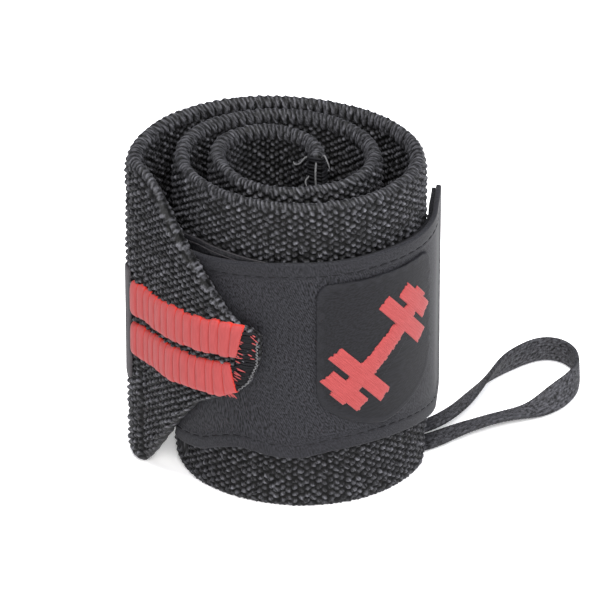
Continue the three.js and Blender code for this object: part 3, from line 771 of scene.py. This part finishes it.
# On the cloth the back lies turned over, its height counted down from 120 mm
girth = np.concatenate([up, 120 - up[:, ::-1]], axis=1)
tab = sheet_mesh("closure_tab", ring_of(front, back), lengths[:, None], girth, heights)
tab.data.materials.append(twill)
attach(tab, "root")
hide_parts("closure_tab")


# Hem stitches
# A lockstitch in dark polyester thread holds each hem. Each stitch is a short twisted thread that
# dips into the cloth at both ends.

# The stitch line's distance from the tab's edge, and the thread's width
HEM_LINE = HEM_WIDTH - HEM_STITCH_INSET
HEM_THREAD = 0.42
STITCH_LENGTH = 2.2
STITCH_GAP = 0.7


def thread_material(name, scale, dark, light, inputs):
    """A thread's material: two tones of one colour, mottled by its twist."""
    material, tree, shader = new_material(name)
    place = add_node(tree, "TexCoord")
    twist = add_node(
        tree, "TexNoise", {"Vector": place.outputs["Object"], "Scale": scale, "Detail": 2.0},
    )
    tone = add_node(
        tree, "Mix", {"Factor": twist, "A": linear(dark), "B": linear(light)}, data_type="RGBA",
    )
    set_inputs(tree, shader, {"Base Color": tone, **inputs})
    return material


# Spun polyester sewing thread: nearly black and matt, mottled every 0.25 mm by its twist
sewing_thread = thread_material(
    "sewing_thread_black", 4000.0, "#070707", "#1F1F22", {"Roughness": 0.7, "Specular IOR Level": 0.1},
)


def joined(pieces):
    """The pieces as one, in the first one's place."""
    bpy.ops.object.select_all(action="DESELECT")
    for piece in pieces:
        piece.select_set(True)
    bpy.context.view_layer.objects.active = pieces[0]
    bpy.ops.object.join()
    return pieces[0]


def laid_stitches(name, starts, ends, outwards, width, material, seed=1):
    """Stitches between pairs of points: one is shaped from a sphere, and the others are its copies."""
    random = np.random.default_rng(seed)
    bpy.ops.object.select_all(action="DESELECT")
    bpy.ops.mesh.primitive_uv_sphere_add(segments=8, ring_count=6, radius=1.0)
    pattern = bpy.context.object
    copies = []
    for start, end, outward in zip(starts, ends, outwards):
        start, end, outward = Vector(start) * MM, Vector(end) * MM, Vector(outward).normalized()
        along = end - start
        across = along.cross(outward).normalized()
        outward = across.cross(along).normalized()
        girth = width * random.uniform(0.85, 1.15) * MM / 2
        shape = np.array([across * girth, outward * girth, along / 2, (start + end) / 2]).T
        copy = pattern.copy()
        copy.data = pattern.data.copy()
        corners = np.empty(len(copy.data.vertices) * 3, dtype=np.float32)
        copy.data.vertices.foreach_get("co", corners)
        corners = corners.reshape(-1, 3)
        corners = corners @ shape[:, :3].T + shape[:, 3]
        copy.data.vertices.foreach_set("co", corners.astype(np.float32).ravel())
        bpy.context.collection.objects.link(copy)
        copies.append(copy)
    bpy.data.objects.remove(pattern, do_unlink=True)
    piece = joined(copies)
    piece.name = name
    piece.data.name = name
    bpy.ops.object.mode_set(mode="EDIT")
    bpy.ops.mesh.select_all(action="SELECT")
    bpy.ops.mesh.normals_make_consistent(inside=False)
    bpy.ops.object.mode_set(mode="OBJECT")
    bpy.ops.object.shade_smooth()
    piece.data.materials.clear()
    piece.data.materials.append(material)
    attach(piece, "root")
    return piece


stitch_from = np.arange(HEM_WIDTH, tab_way.total - 2, STITCH_LENGTH + STITCH_GAP)
starts, ends, outwards = [], [], []
for height_of, inwards in ((tab_low, 1), (lambda length: tab_high(length) - twill_drop(length), -1)):
    for start in stitch_from:
        pair = np.array([start, start + STITCH_LENGTH])
        line = tab_way.points(pair, 0.04, height_of(pair) + inwards * HEM_LINE)
        _, _, side_x, side_y = tab_way.at(start)
        starts.append(line[0])
        ends.append(line[1])
        outwards.append((side_x, side_y, 0))
end_low = TAB_MIDDLE - TAB_WIDTH / 2 + 4
end_high = TAB_MIDDLE + TAB_WIDTH / 2 - 5
for up in np.arange(end_low, end_high, STITCH_LENGTH + STITCH_GAP):
    line = tab_way.points(HEM_LINE, 0.04, np.array([up, up + STITCH_LENGTH]))
    _, _, side_x, side_y = tab_way.at(HEM_WIDTH)
    starts.append(line[0])
    ends.append(line[1])
    outwards.append((side_x, side_y, 0))
stitches = laid_stitches("hem_stitches", starts, ends, outwards, HEM_THREAD, sewing_thread)


# Hook tape
# The tab's inner layer is a woven nylon tape with rows of small stiff hooks that grip the knit.
# It is sewn to the twill all round, and its woven edge looks out above the twill.

# Bunches of hooks, drawn coarser than the real single hooks
HOOK_PITCH = 1.3
HOOK_LENGTH = 0.55
# How far the tape's upper edge rises above the twill's towards the tab's left end
TAPE_RISE = 3.4

# Nylon hook tape: black and slightly glossy hooks on a woven ground. The tangle of hooks is a grain
# of 0.7 mm, drawn coarser than the real hooks
hook_nylon, tree, shader = new_material("nylon_hook_tape")
cloth = add_node(tree, "UVMap", uv_map="cloth")
grit = add_node(tree, "TexVoronoi", {"Vector": cloth, "Scale": 1400.0})
nylon = add_node(
    tree, "Mix", {"Factor": grit, "A": linear("#1C1C1F"), "B": linear("#070709")}, data_type="RGBA",
)
bump = add_node(tree, "Bump", {"Height": grit, "Strength": 0.8, "Distance": 0.0003})
set_inputs(tree, shader, {
    "Base Color": nylon, "Specular IOR Level": 0.2, "Normal": bump, "Roughness": 0.5,
})


def tape_high(length):
    """Height of the tape's upper edge, which rises above the twill towards the tab's left end."""
    rise = TAPE_RISE * np.clip((tab_turn_at(length) - 0.775) / 0.11, 0, 1)
    return tab_high(length) - twill_drop(length) + rise + 0.15


lengths = np.arange(0.4, tab_way.total - 0.3, 0.6)
rows = np.arange(0.3, TAB_WIDTH - 0.2, 0.6) / TAB_WIDTH
low = tab_low(lengths)[:, None]
high = tape_high(lengths)[:, None]
up = low + (high - low) * rows
along = np.broadcast_to(lengths[:, None], up.shape)
hook_turn = 2 * math.pi / HOOK_PITCH
hook_rows = 0.5 + 0.5 * np.cos(hook_turn * along) * np.cos(hook_turn * up)
edge_fade = np.clip(np.minimum(up - low, high - up) / 2 - 0.5, 0, 1)
hooks = hook_rows * edge_fade
front = tab_way.points(along, -TAB_LAYER - 0.05, up)
back = tab_way.points(along, -2 * TAB_LAYER + 0.1 - HOOK_LENGTH * hooks, up)
points = np.concatenate([front, back[:, ::-1]], axis=1)
girth = np.concatenate([up, 120 - up[:, ::-1], up[:, :1]], axis=1)
tape = sheet_mesh("hook_tape", points, lengths[:, None], girth)
tape.data.materials.append(hook_nylon)
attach(tape, "root")
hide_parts("hook_tape")


# Badge
# A woven badge with square shoulders and a rounded foot is sewn flat on the tab. It is a fine
# black damask with a narrow overlocked edge.

BADGE_TURN = 0.628
BADGE_WIDTH = 31.0
BADGE_HEIGHT = 38.0
BADGE_MIDDLE = 39.0
BADGE_CORNER = 3.0
BADGE_TOP = 0.55
BORDER_WIDTH = 1.3

badge_lengths = np.linspace(0, tab_way.total, 2000)
badge_length = badge_lengths[np.argmin(np.abs(tab_turn_at(badge_lengths) - BADGE_TURN))]
badge_x, badge_y, badge_side_x, badge_side_y = tab_way.at(badge_length)
right_x, right_y = -badge_side_y, badge_side_x
if right_x < 0:
    right_x, right_y = -right_x, -right_y
near = np.linspace(badge_length - 21, badge_length + 21, 900)
near_x, near_y, _, _ = tab_way.at(near)
near_right = (near_x - badge_x) * right_x + (near_y - badge_y) * right_y


def badge_points(right, out, up):
    """Points on the tab in the badge's own measures: right and up from its middle, and outwards."""
    order = np.argsort(near_right)
    lengths = np.interp(right, near_right[order], near[order])
    return tab_way.points(lengths, out, up + BADGE_MIDDLE)


def bezier(a, b, c, d, t):
    """A cubic curve's points."""
    return (1 - t) ** 3 * a + 3 * (1 - t) ** 2 * t * b + 3 * (1 - t) * t ** 2 * c + t ** 3 * d


half, top = BADGE_WIDTH / 2, BADGE_HEIGHT / 2
t = np.linspace(0, 1, 60)
foot_right = bezier(half, half, BADGE_WIDTH * 0.225, 0, t)
foot_up = bezier(-BADGE_HEIGHT * 0.22, -BADGE_HEIGHT * 0.36, -BADGE_HEIGHT * 0.475, -top, t)
corner = np.linspace(0, math.pi / 2, 12)
outline_right = np.concatenate([foot_right[::-1], half - BADGE_CORNER + BADGE_CORNER * np.cos(corner)])
outline_up = np.concatenate([foot_up[::-1], top - BADGE_CORNER + BADGE_CORNER * np.sin(corner)])
slope = (1 - np.cos(np.linspace(0, math.pi, 90))) / 2
rows_up = -top + 0.02 + (BADGE_HEIGHT - 0.04) * slope
half_widths = np.interp(rows_up, outline_up, outline_right)
columns = np.sin(np.linspace(-math.pi / 2, math.pi / 2, 70))
right = half_widths[:, None] * columns
up = np.broadcast_to(rows_up[:, None], right.shape)
closed_right = np.concatenate([outline_right, -outline_right[::-1]])
closed_up = np.concatenate([outline_up, outline_up[::-1]])
shares = np.linspace(0, 1, len(closed_up))
outline = np.stack([
    np.interp(np.linspace(0, 1, 900), shares, column) for column in (closed_right, closed_up)
], axis=-1)
from_edge = np.sqrt(np.min(
    (right[..., None] - outline[:, 0]) ** 2 + (up[..., None] - outline[:, 1]) ** 2, axis=-1,
))
edge_round = rounded(from_edge, 0.5)
border = 1 - np.clip((from_edge - BORDER_WIDTH) / 0.3, 0, 1)
front = badge_points(right, 0.1 + (BADGE_TOP - 0.1) * edge_round + 0.05 * border * edge_round, up)
back = badge_points(right, 0.0, up)
points = ring_of(front, back)
heights = ring_of(border, border)
wide = np.concatenate([right, 80 - right[:, ::-1]], axis=1)

# Woven polyester damask: close and smooth, almost black, with a stitched edge drawn paler as a painted
# highlight.
# Its picks are drawn at 0.7 by 0.4 mm, coarser than the real weave
damask, tree, shader = new_material("woven_badge_damask")
cloth = add_node(tree, "UVMap", uv_map="cloth")
rows_map = add_node(tree, "Mapping", {"Vector": cloth, "Scale": (1400.0, 2400.0, 1.0)})
picks = add_node(tree, "TexNoise", {"Vector": rows_map, "Scale": 1.0, "Detail": 2.0})
border_height = add_node(tree, "Attribute", attribute_name="height")
pick_tone = add_node(tree, "MapRange", {"Value": picks, "From Min": 0.38, "From Max": 0.62})
ground = add_node(
    tree, "Mix", {"Factor": pick_tone, "A": linear("#08080A"), "B": linear("#151519")}, data_type="RGBA",
)
# Painted highlight: the stitched edge is drawn paler
edge_highlight_share = add_node(tree, "Math", {0: border_height.outputs["Fac"], 1: 0.25}, operation="MULTIPLY")
painted_edge_highlight = add_node(
    tree, "Mix", {"Factor": edge_highlight_share, "A": ground, "B": linear("#212125")}, data_type="RGBA",
)
bump = add_node(tree, "Bump", {"Height": picks, "Strength": 0.4, "Distance": 0.00015})
set_inputs(tree, shader, {
    "Base Color": painted_edge_highlight, "Normal": bump, "Roughness": 0.6, "Specular IOR Level": 0.15,
})

badge = sheet_mesh("badge", points, wide, rows_up[:, None], heights)
badge.data.materials.append(damask)
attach(badge, "root")
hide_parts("badge")


# Badge motif
# A plain dumbbell stands in for the real badge's mark. Each bar is satin-stitched in the red of
# the stripes: threads laid close across it, which round it over and leave a fine rib.

MOTIF_TILT = math.radians(42)
BAR_LENGTH = 31.0
BAR_THICKNESS = 4.6
PLATE_THICKNESS = 3.8
INNER_PLATE = 18.0
OUTER_PLATE = 12.0
INNER_PLATE_PLACE = 7.75
PLATE_GAP = 1.2
SATIN_PITCH = 0.5
SATIN_HEIGHT = 0.42


def satin_bar(name, middle, run, reach, seed):
    """One stitched bar: a shallow tube with a rib for each thread, its ends a little uneven."""
    random = np.random.default_rng(seed)
    along = np.arange(0, run + 0.01, SATIN_PITCH / 4)
    across_rows = np.array([-1, -0.97, -0.88, -0.7, -0.45, -0.15, 0.15, 0.45, 0.7, 0.88, 0.97, 1])
    thread = (along / SATIN_PITCH).astype(int)
    uneven = random.uniform(-0.22, 0.22, (2, thread[-1] + 1))[:, thread]
    half_low = reach / 2 + uneven[0]
    half_high = reach / 2 + uneven[1]
    rib = np.abs(np.sin(math.pi * along / SATIN_PITCH)) ** 0.7
    ends = rounded(np.minimum(along, run - along), 0.35)
    crown = crowned(across_rows, 4)
    base = BADGE_TOP - 0.1
    height = crown * (0.75 + 0.25 * rib[:, None])
    out_front = base + 0.1 + SATIN_HEIGHT * height * (0.3 + 0.7 * ends[:, None])
    local_across = across_rows * np.where(across_rows < 0, half_low[:, None], half_high[:, None])
    local_along = np.broadcast_to(middle + (along - run / 2)[:, None], local_across.shape)
    ring_x = ring_of(local_along, local_along)
    ring_y = ring_of(local_across, local_across)
    ring_out = ring_of(out_front, np.full_like(out_front, base))
    right = ring_x * math.cos(MOTIF_TILT) - ring_y * math.sin(MOTIF_TILT)
    up = ring_x * math.sin(MOTIF_TILT) + ring_y * math.cos(MOTIF_TILT)
    points = badge_points(right, ring_out, up)
    # The height also paints the brighter red of bounce light at the bars' sides, as on the stripes
    heights = ring_of(0.4 + 0.6 * height, np.full_like(height, 0.4))
    wide = np.concatenate([ring_x, ring_x[:, :1]], axis=1)
    tall = np.concatenate([ring_y, ring_y[:, :1]], axis=1)
    return sheet_mesh(name, points, wide, tall, heights)


outer_place = INNER_PLATE_PLACE + PLATE_THICKNESS + PLATE_GAP
bars = [satin_bar("badge_motif", 0.0, BAR_LENGTH, BAR_THICKNESS, 11)]
for number, (middle, length) in enumerate((
    (-outer_place, OUTER_PLATE), (-INNER_PLATE_PLACE, INNER_PLATE),
    (INNER_PLATE_PLACE, INNER_PLATE), (outer_place, OUTER_PLATE),
)):
    bars.append(satin_bar("plate", middle, PLATE_THICKNESS, length, 12 + number))
motif = joined(bars)
motif.data.materials.clear()
motif.data.materials.append(rib_red)
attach(motif, "root")
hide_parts("badge_motif")


# Thumb loop
# A flat woven elastic, 6 mm wide, goes round the thumb. It is ribbed lengthwise by the rubber
# threads inside it, and both its ends are sewn to the band's inner end.

STRAP_WIDTH = 6.0
STRAP_THICKNESS = 1.2
LOOP_REACH = 60.0
FLOOR_GAP = 0.3
STRAP_RIBS = 9
STRAP_STEP = 0.45

# Out and back as shares of the reach, heading, lean from upright, lift off the floor
LOOP_ROWS = np.array([
    (0.025, 0.0, 0, -90, 15), (0.025, 0.0, 0, -90, 9), (0.033, 0.0, 0, -90, 4.6),
    (0.085, -0.004, -5, -86, 2.2), (0.18, -0.012, 6, -80, 1.4), (0.356, 0.036, 30, -80, 1.2),
    (0.492, 0.171, 57, -66, 0.8), (0.589, 0.349, 61, -44, 0.3), (0.695, 0.515, 52, -8, 0.3),
    (0.845, 0.635, 13, 4, 0.3), (0.958, 0.562, -62, 2, 0.3), (0.964, 0.39, -108, -8, 0.3),
    (0.882, 0.262, -136, -50, 0.3), (0.785, 0.2, -148, -90, 0.3), (0.65, 0.13, -152, -104, 0.4),
    (0.494, 0.04, -152, -100, 0.4), (0.336, -0.06, -158, -86, 0.4), (0.18, -0.07, -174, -88, 0.4),
    (0.055, -0.01, -180, -90, 0.5), (0.004, 0.0, -180, -90, 4), (0.0, 0.0, -180, -90, 9),
    (0.0, 0.0, -180, -90, 15),
]).T

sewn_x, sewn_y, sewn_side_x, sewn_side_y = band_way.at(band_way.total - STRAP_WIDTH / 2)
standoff = BAND_THICKNESS / 2 + CLEARANCE + STRAP_THICKNESS / 2
loop_start = (sewn_x + sewn_side_x * standoff, sewn_y + sewn_side_y * standoff)
row_numbers = np.arange(LOOP_ROWS.shape[1], dtype=float)


def strap_centre(place):
    """The strap's centreline at row places."""
    out, back, _, lean, lift = [smooth_through(row_numbers, column, place) for column in LOOP_ROWS]
    lean = np.radians(lean)
    rise = np.abs(np.cos(lean)) * STRAP_WIDTH / 2 + np.abs(np.sin(lean)) * STRAP_THICKNESS / 2
    return np.stack([
        loop_start[0] + LOOP_REACH * out + ROLL_CENTRE[0],
        loop_start[1] + LOOP_REACH * back + ROLL_CENTRE[1],
        rise + np.maximum(lift, FLOOR_GAP),
    ], axis=-1)


def soften(column):
    """A column of the strap's stations, smoothed over 31 of them."""
    weights = np.hanning(31) / np.sum(np.hanning(31))
    return np.convolve(np.pad(column, 15, mode="edge"), weights, "valid")


fine_places = np.linspace(0, row_numbers[-1], 2400)
fine_centres = strap_centre(fine_places)
fine_steps = np.linalg.norm(np.diff(fine_centres, axis=0), axis=1)
fine_lengths = np.concatenate([[0], np.cumsum(fine_steps)])
strap_stations = np.arange(0, fine_lengths[-1], STRAP_STEP)
places = np.interp(strap_stations, fine_lengths, fine_places)
centres = np.stack([soften(column) for column in strap_centre(places).T], axis=-1)
travel = np.gradient(centres, axis=0)
travel /= np.linalg.norm(travel, axis=1)[:, None]
heading, lean = [
    soften(np.radians(smooth_through(row_numbers, column, places))) for column in LOOP_ROWS[2:4]
]
width_way = np.stack([
    -np.sin(heading) * np.sin(lean), np.cos(heading) * np.sin(lean), np.cos(lean),
], axis=-1)
width_way -= travel * np.sum(width_way * travel, axis=1)[:, None]
width_way /= np.linalg.norm(width_way, axis=1)[:, None]
face_way = np.cross(travel, width_way)
strap_across = np.sin(np.linspace(-math.pi / 2, math.pi / 2, STRAP_RIBS * 6 + 1))
strap_across = np.linspace(-1, 1, STRAP_RIBS * 6 + 1) * 0.75 + strap_across * 0.25
strap_rib = np.abs(np.cos(math.pi * STRAP_RIBS * (strap_across + 1) / 2 - math.pi / 2)) ** 0.6
strap_edge = crowned(strap_across, 8)
half_thick = (STRAP_THICKNESS / 2 - 0.1 + 0.1 * strap_rib) * strap_edge
beat = 0.04 * np.cos(math.pi * strap_stations / STRAP_STEP)[:, None] * strap_edge
ring_across = np.concatenate([strap_across, strap_across[-2:0:-1]]) * STRAP_WIDTH / 2
ring_through = ring_of(half_thick + beat, -half_thick - beat)
points = (
    centres[:, None, :] + width_way[:, None, :] * ring_across[None, :, None]
    + face_way[:, None, :] * ring_through[:, :, None]
)
# These heights paint shade into the grooves between the ribs and at the strap's edges
ring_heights = np.concatenate([strap_rib * strap_edge, (strap_rib * strap_edge)[-2:0:-1]])
heights = np.broadcast_to(ring_heights, ring_through.shape)
girth = np.concatenate([strap_across * STRAP_WIDTH / 2, 12 - strap_across[::-1] * STRAP_WIDTH / 2])

# Woven elastic of polyester over rubber: charcoal ribs and a fine cross weave, drawn at 1.0 by
# 0.7 mm, coarser than the real one. Painted shade darkens the grooves between the ribs and the
# strap's edges
elastic, tree, shader = new_material("woven_elastic")
cloth = add_node(tree, "UVMap", uv_map="cloth")
rib_height = add_node(tree, "Attribute", attribute_name="height")
weft_map = add_node(tree, "Mapping", {"Vector": cloth, "Scale": (1000.0, 1400.0, 1.0)})
weft = add_node(tree, "TexNoise", {"Vector": weft_map, "Scale": 1.0, "Detail": 2.0, "Roughness": 0.6})
weft_tone = add_node(tree, "MapRange", {"Value": weft, "From Min": 0.36, "From Max": 0.64})
upper = add_node(
    tree, "Mix", {"Factor": weft_tone, "A": linear("#0A0A0B"), "B": linear("#454549")}, data_type="RGBA",
)
# Painted shade: the grooves between the ribs and the strap's edges are drawn darker
painted_groove_shade_mask = add_node(
    tree, "MapRange", {"Value": rib_height.outputs["Fac"], "From Max": 0.9, "To Min": 0.35},
)
strap_tone = add_node(
    tree, "Mix", {"Factor": painted_groove_shade_mask, "A": linear("#131315"), "B": upper}, data_type="RGBA",
)
bump = add_node(tree, "Bump", {"Height": weft, "Strength": 0.5, "Distance": 0.0002})
set_inputs(tree, shader, {
    "Base Color": strap_tone, "Normal": bump, "Roughness": 0.75, "Specular IOR Level": 0.21,
})

strap = sheet_mesh("thumb_loop", points, strap_stations[:, None], girth, heights)
strap.data.materials.append(elastic)
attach(strap, "root")
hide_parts("thumb_loop")


# Tip stitching
# The point's tip is closed and sewn to the tab with a dense patch of black thread. Ends of the red
# stripe yarn are caught in it, and a pale zigzag of overlock thread runs down its slanting edge.

# The threads' widths
BLACK_THREAD = 0.5
RED_THREAD = 0.27
GREY_THREAD = 0.24

# Dyed polyester thread in the colour of the stripes, mottled every 0.25 mm
sewing_red = thread_material(
    "sewing_thread_red", 4000.0, "#701A1E", "#9F3B38", {"Roughness": 0.65},
)

# Grey overlock thread, fluffy, matt and paler than the knit, mottled every 0.3 mm
overlock_grey = thread_material(
    "overlock_thread_grey", 3500.0, "#303031", "#6B6B6C", {"Roughness": 0.8},
)


def band_points(lengths, out, up):
    """Points at lengths of the band, outwards from its outer face and up, in the part's frame."""
    face = BAND_THICKNESS * (point_edge(lengths, 4) - 0.5)
    return band_way.points(lengths, face + out, up)


def stitches_on_band(name, rows, width, material, seed):
    """Stitches on the band's outer face, from rows of start length and height, end length and
    height, and how far they stand out."""
    rows = np.array(rows)
    starts = band_points(rows[:, 0], rows[:, 4], rows[:, 1])
    ends = band_points(rows[:, 2], rows[:, 4], rows[:, 3])
    _, _, side_x, side_y = band_way.at((rows[:, 0] + rows[:, 2]) / 2)
    piece = laid_stitches(
        name, starts, ends, np.stack([side_x, side_y, 0 * side_x], axis=-1), width, material, seed,
    )


def slant_low(length):
    """Height of the tip's lower slanting edge."""
    return BAND_WIDTH * point_edge(length, 1)


random = np.random.default_rng(21)
slant_lengths = np.linspace(0, 12, 200)
slant_heights = slant_low(slant_lengths)


def slant_length(up):
    """Length from the tip at which the lower slanting edge passes a height."""
    return float(np.interp(-up, -slant_heights, slant_lengths))


black_rows, red_rows, grey_rows = [], [], []
for up in np.arange(38.4, 46.6, 0.36):
    outer = slant_length(up) + 0.3
    inner = 5.2 + random.uniform(-0.4, 0.4)
    black_rows.append((inner, up + random.uniform(-0.5, 0.5), outer, up, 0.3))
for up in np.arange(30.4, 38.2, 0.36):
    outer = slant_length(up) + 0.3
    inner = (7.6 if up < 37.2 else 5.4) + random.uniform(-0.4, 0.3)
    black_rows.append((inner, up + random.uniform(-0.5, 0.5), outer, up, 0.3))
stitches_on_band("tip_stitching_black", black_rows, BLACK_THREAD, sewing_thread, 5)
for up in np.arange(39.0, 46.5, 0.75):
    start = 4.9 + random.uniform(-0.5, 0.4)
    end = start - random.uniform(0.7, 1.7)
    red_rows.append((start, up, end, up + random.uniform(-0.9, 0.5), 0.55))
for up, start in (
    (45.9, 1.9), (46.2, 1.4), (45.2, 1.2), (44.2, 1.6), (41.2, 2.5), (42.6, 1.6), (40.2, 2.0),
):
    end = start - random.uniform(0.6, 1.2)
    red_rows.append((start, up, end, up - random.uniform(0.1, 0.8), 0.55))
for up in (37.2, 36.9, 36.3, 35.9, 35.2, 34.6, 33.9):
    start = 5.0 + (37 - up) * 0.4 + random.uniform(-0.4, 0.4)
    end = start - random.uniform(1.0, 2.2)
    red_rows.append((start, up, end, up - random.uniform(0.3, 1.5), 0.58))
for turn in range(8):
    end_up = 29.6 + random.uniform(-0.6, 0.6)
    red_rows.append((8.8 - turn * 0.3, 31.2 - turn * 0.1, 7.4 - turn * 0.35, end_up, 0.5))
stitches_on_band("tip_stitching_red", red_rows, RED_THREAD, sewing_red, 6)
zigzag = np.linspace(44.6, 31.4, 34)
for number, (here, there) in enumerate(zip(zigzag[:-1], zigzag[1:])):
    sway = (0.15, 0.75) if number % 2 else (0.75, 0.15)
    grey_rows.append((slant_length(here) + sway[0], here, slant_length(there) + sway[1], there, 0.5))
stitches_on_band("tip_overlock_grey", grey_rows, GREY_THREAD, overlock_grey, 7)


# Inner end of the band
# The band's inner end is cut and overlocked with black thread, which wraps round the cut edge. A
# few ends of grey yarn have worked loose from it.

INNER_STITCH_PITCH = 0.85
INNER_THREAD = 0.8

end_x, end_y, end_side_x, end_side_y = band_way.at(band_way.total)
end_travel = np.array([end_side_y, -end_side_x])
end_side = np.array([end_side_x, end_side_y])


def off_inner_end(across, beyond, up):
    """A point measured from the band's inner end: across its thickness, beyond its cut and up."""
    point = np.array([end_x, end_y]) + end_side * across + end_travel * beyond + ROLL_CENTRE
    return point[0], point[1], up


random = np.random.default_rng(31)
starts, ends, outwards = [], [], []
for up in np.arange(1.2, BAND_WIDTH - 0.6, INNER_STITCH_PITCH):
    corners = []
    for across, beyond in ((2.0, -2.6), (1.75, 0.25), (-1.75, 0.25), (-2.0, -2.6)):
        corners.append(off_inner_end(across, beyond, up + random.uniform(-0.4, 0.4)))
    for first, second, outward in (
        (corners[0], corners[1], end_side), (corners[1], corners[2], end_travel),
        (corners[2], corners[3], -end_side),
    ):
        starts.append(first)
        ends.append(second)
        outwards.append((outward[0], outward[1], 0))
overlock = laid_stitches(
    "inner_end_overlock", starts, ends, outwards, INNER_THREAD, sewing_thread, 8,
)


def loose_thread(name, knots, width, material):
    """A loose end of yarn: a thin tube through a few knots, tapering to its end."""
    knots = np.array(knots, dtype=float)
    at_knots = np.arange(len(knots), dtype=float)
    steps = np.linspace(0, len(knots) - 1, 10 * len(knots))
    line = np.stack([smooth_through(at_knots, column, steps) for column in knots.T], axis=-1)
    travel = np.gradient(line, axis=0)
    travel /= np.linalg.norm(travel, axis=1)[:, None]
    across = np.cross(travel, (0.3, 0.2, 0.93))
    across /= np.linalg.norm(across, axis=1)[:, None]
    third = np.cross(travel, across)
    angles = np.linspace(0, 2 * math.pi, 7)[:-1]
    girth = width / 2 * (1 - 0.55 * np.linspace(0, 1, len(steps)) ** 3)
    ring = (
        across[:, None] * np.cos(angles)[None, :, None] + third[:, None] * np.sin(angles)[None, :, None]
    ) * girth[:, None, None]
    points = line[:, None] + ring
    piece = sheet_mesh(name, points, steps[:, None], np.arange(7.0))
    piece.data.materials.append(material)
    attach(piece, "root")


# Two grey warp threads in the hook tape's upper edge, where it looks out above the twill
tape_lengths = np.arange(tab_way.total - 26, tab_way.total - 0.5, 2.5)
for number, below in enumerate((0.35, 1.7)):
    along_tape = tab_way.points(tape_lengths, -TAB_LAYER + 0.12, tape_high(tape_lengths) - below)
    loose_thread(f"tape_edge_thread_{number + 1}", along_tape, 0.16, lining_grey)

# Each loose yarn: its thickness, and its knots across, beyond and up from the inner end
LOOSE_YARNS = (
    (
        0.42, (-1.2, -1.0, 74.2), (-2.4, -0.4, 74.6), (-3.6, 0.4, 73.2), (-4.8, 0.2, 72.6),
        (-5.4, -0.3, 73.0),
    ),
    (0.5, (0.4, 0.3, 74.6), (0.6, 1.3, 72.0), (0.9, 1.7, 68.5), (1.3, 1.4, 65.5)),
    (0.4, (1.4, -0.6, 75.2), (2.4, 0.3, 76.2), (3.4, 0.9, 75.0), (4.0, 1.1, 73.6)),
    (0.4, (-1.3, 0.2, 70.4), (-1.9, 1.0, 69.4), (-1.4, 1.6, 68.4)),
)
for number, (width, *knots) in enumerate(LOOSE_YARNS):
    line = [off_inner_end(*knot) for knot in knots]
    loose_thread(f"loose_yarn_{number + 1}", line, width, overlock_grey)
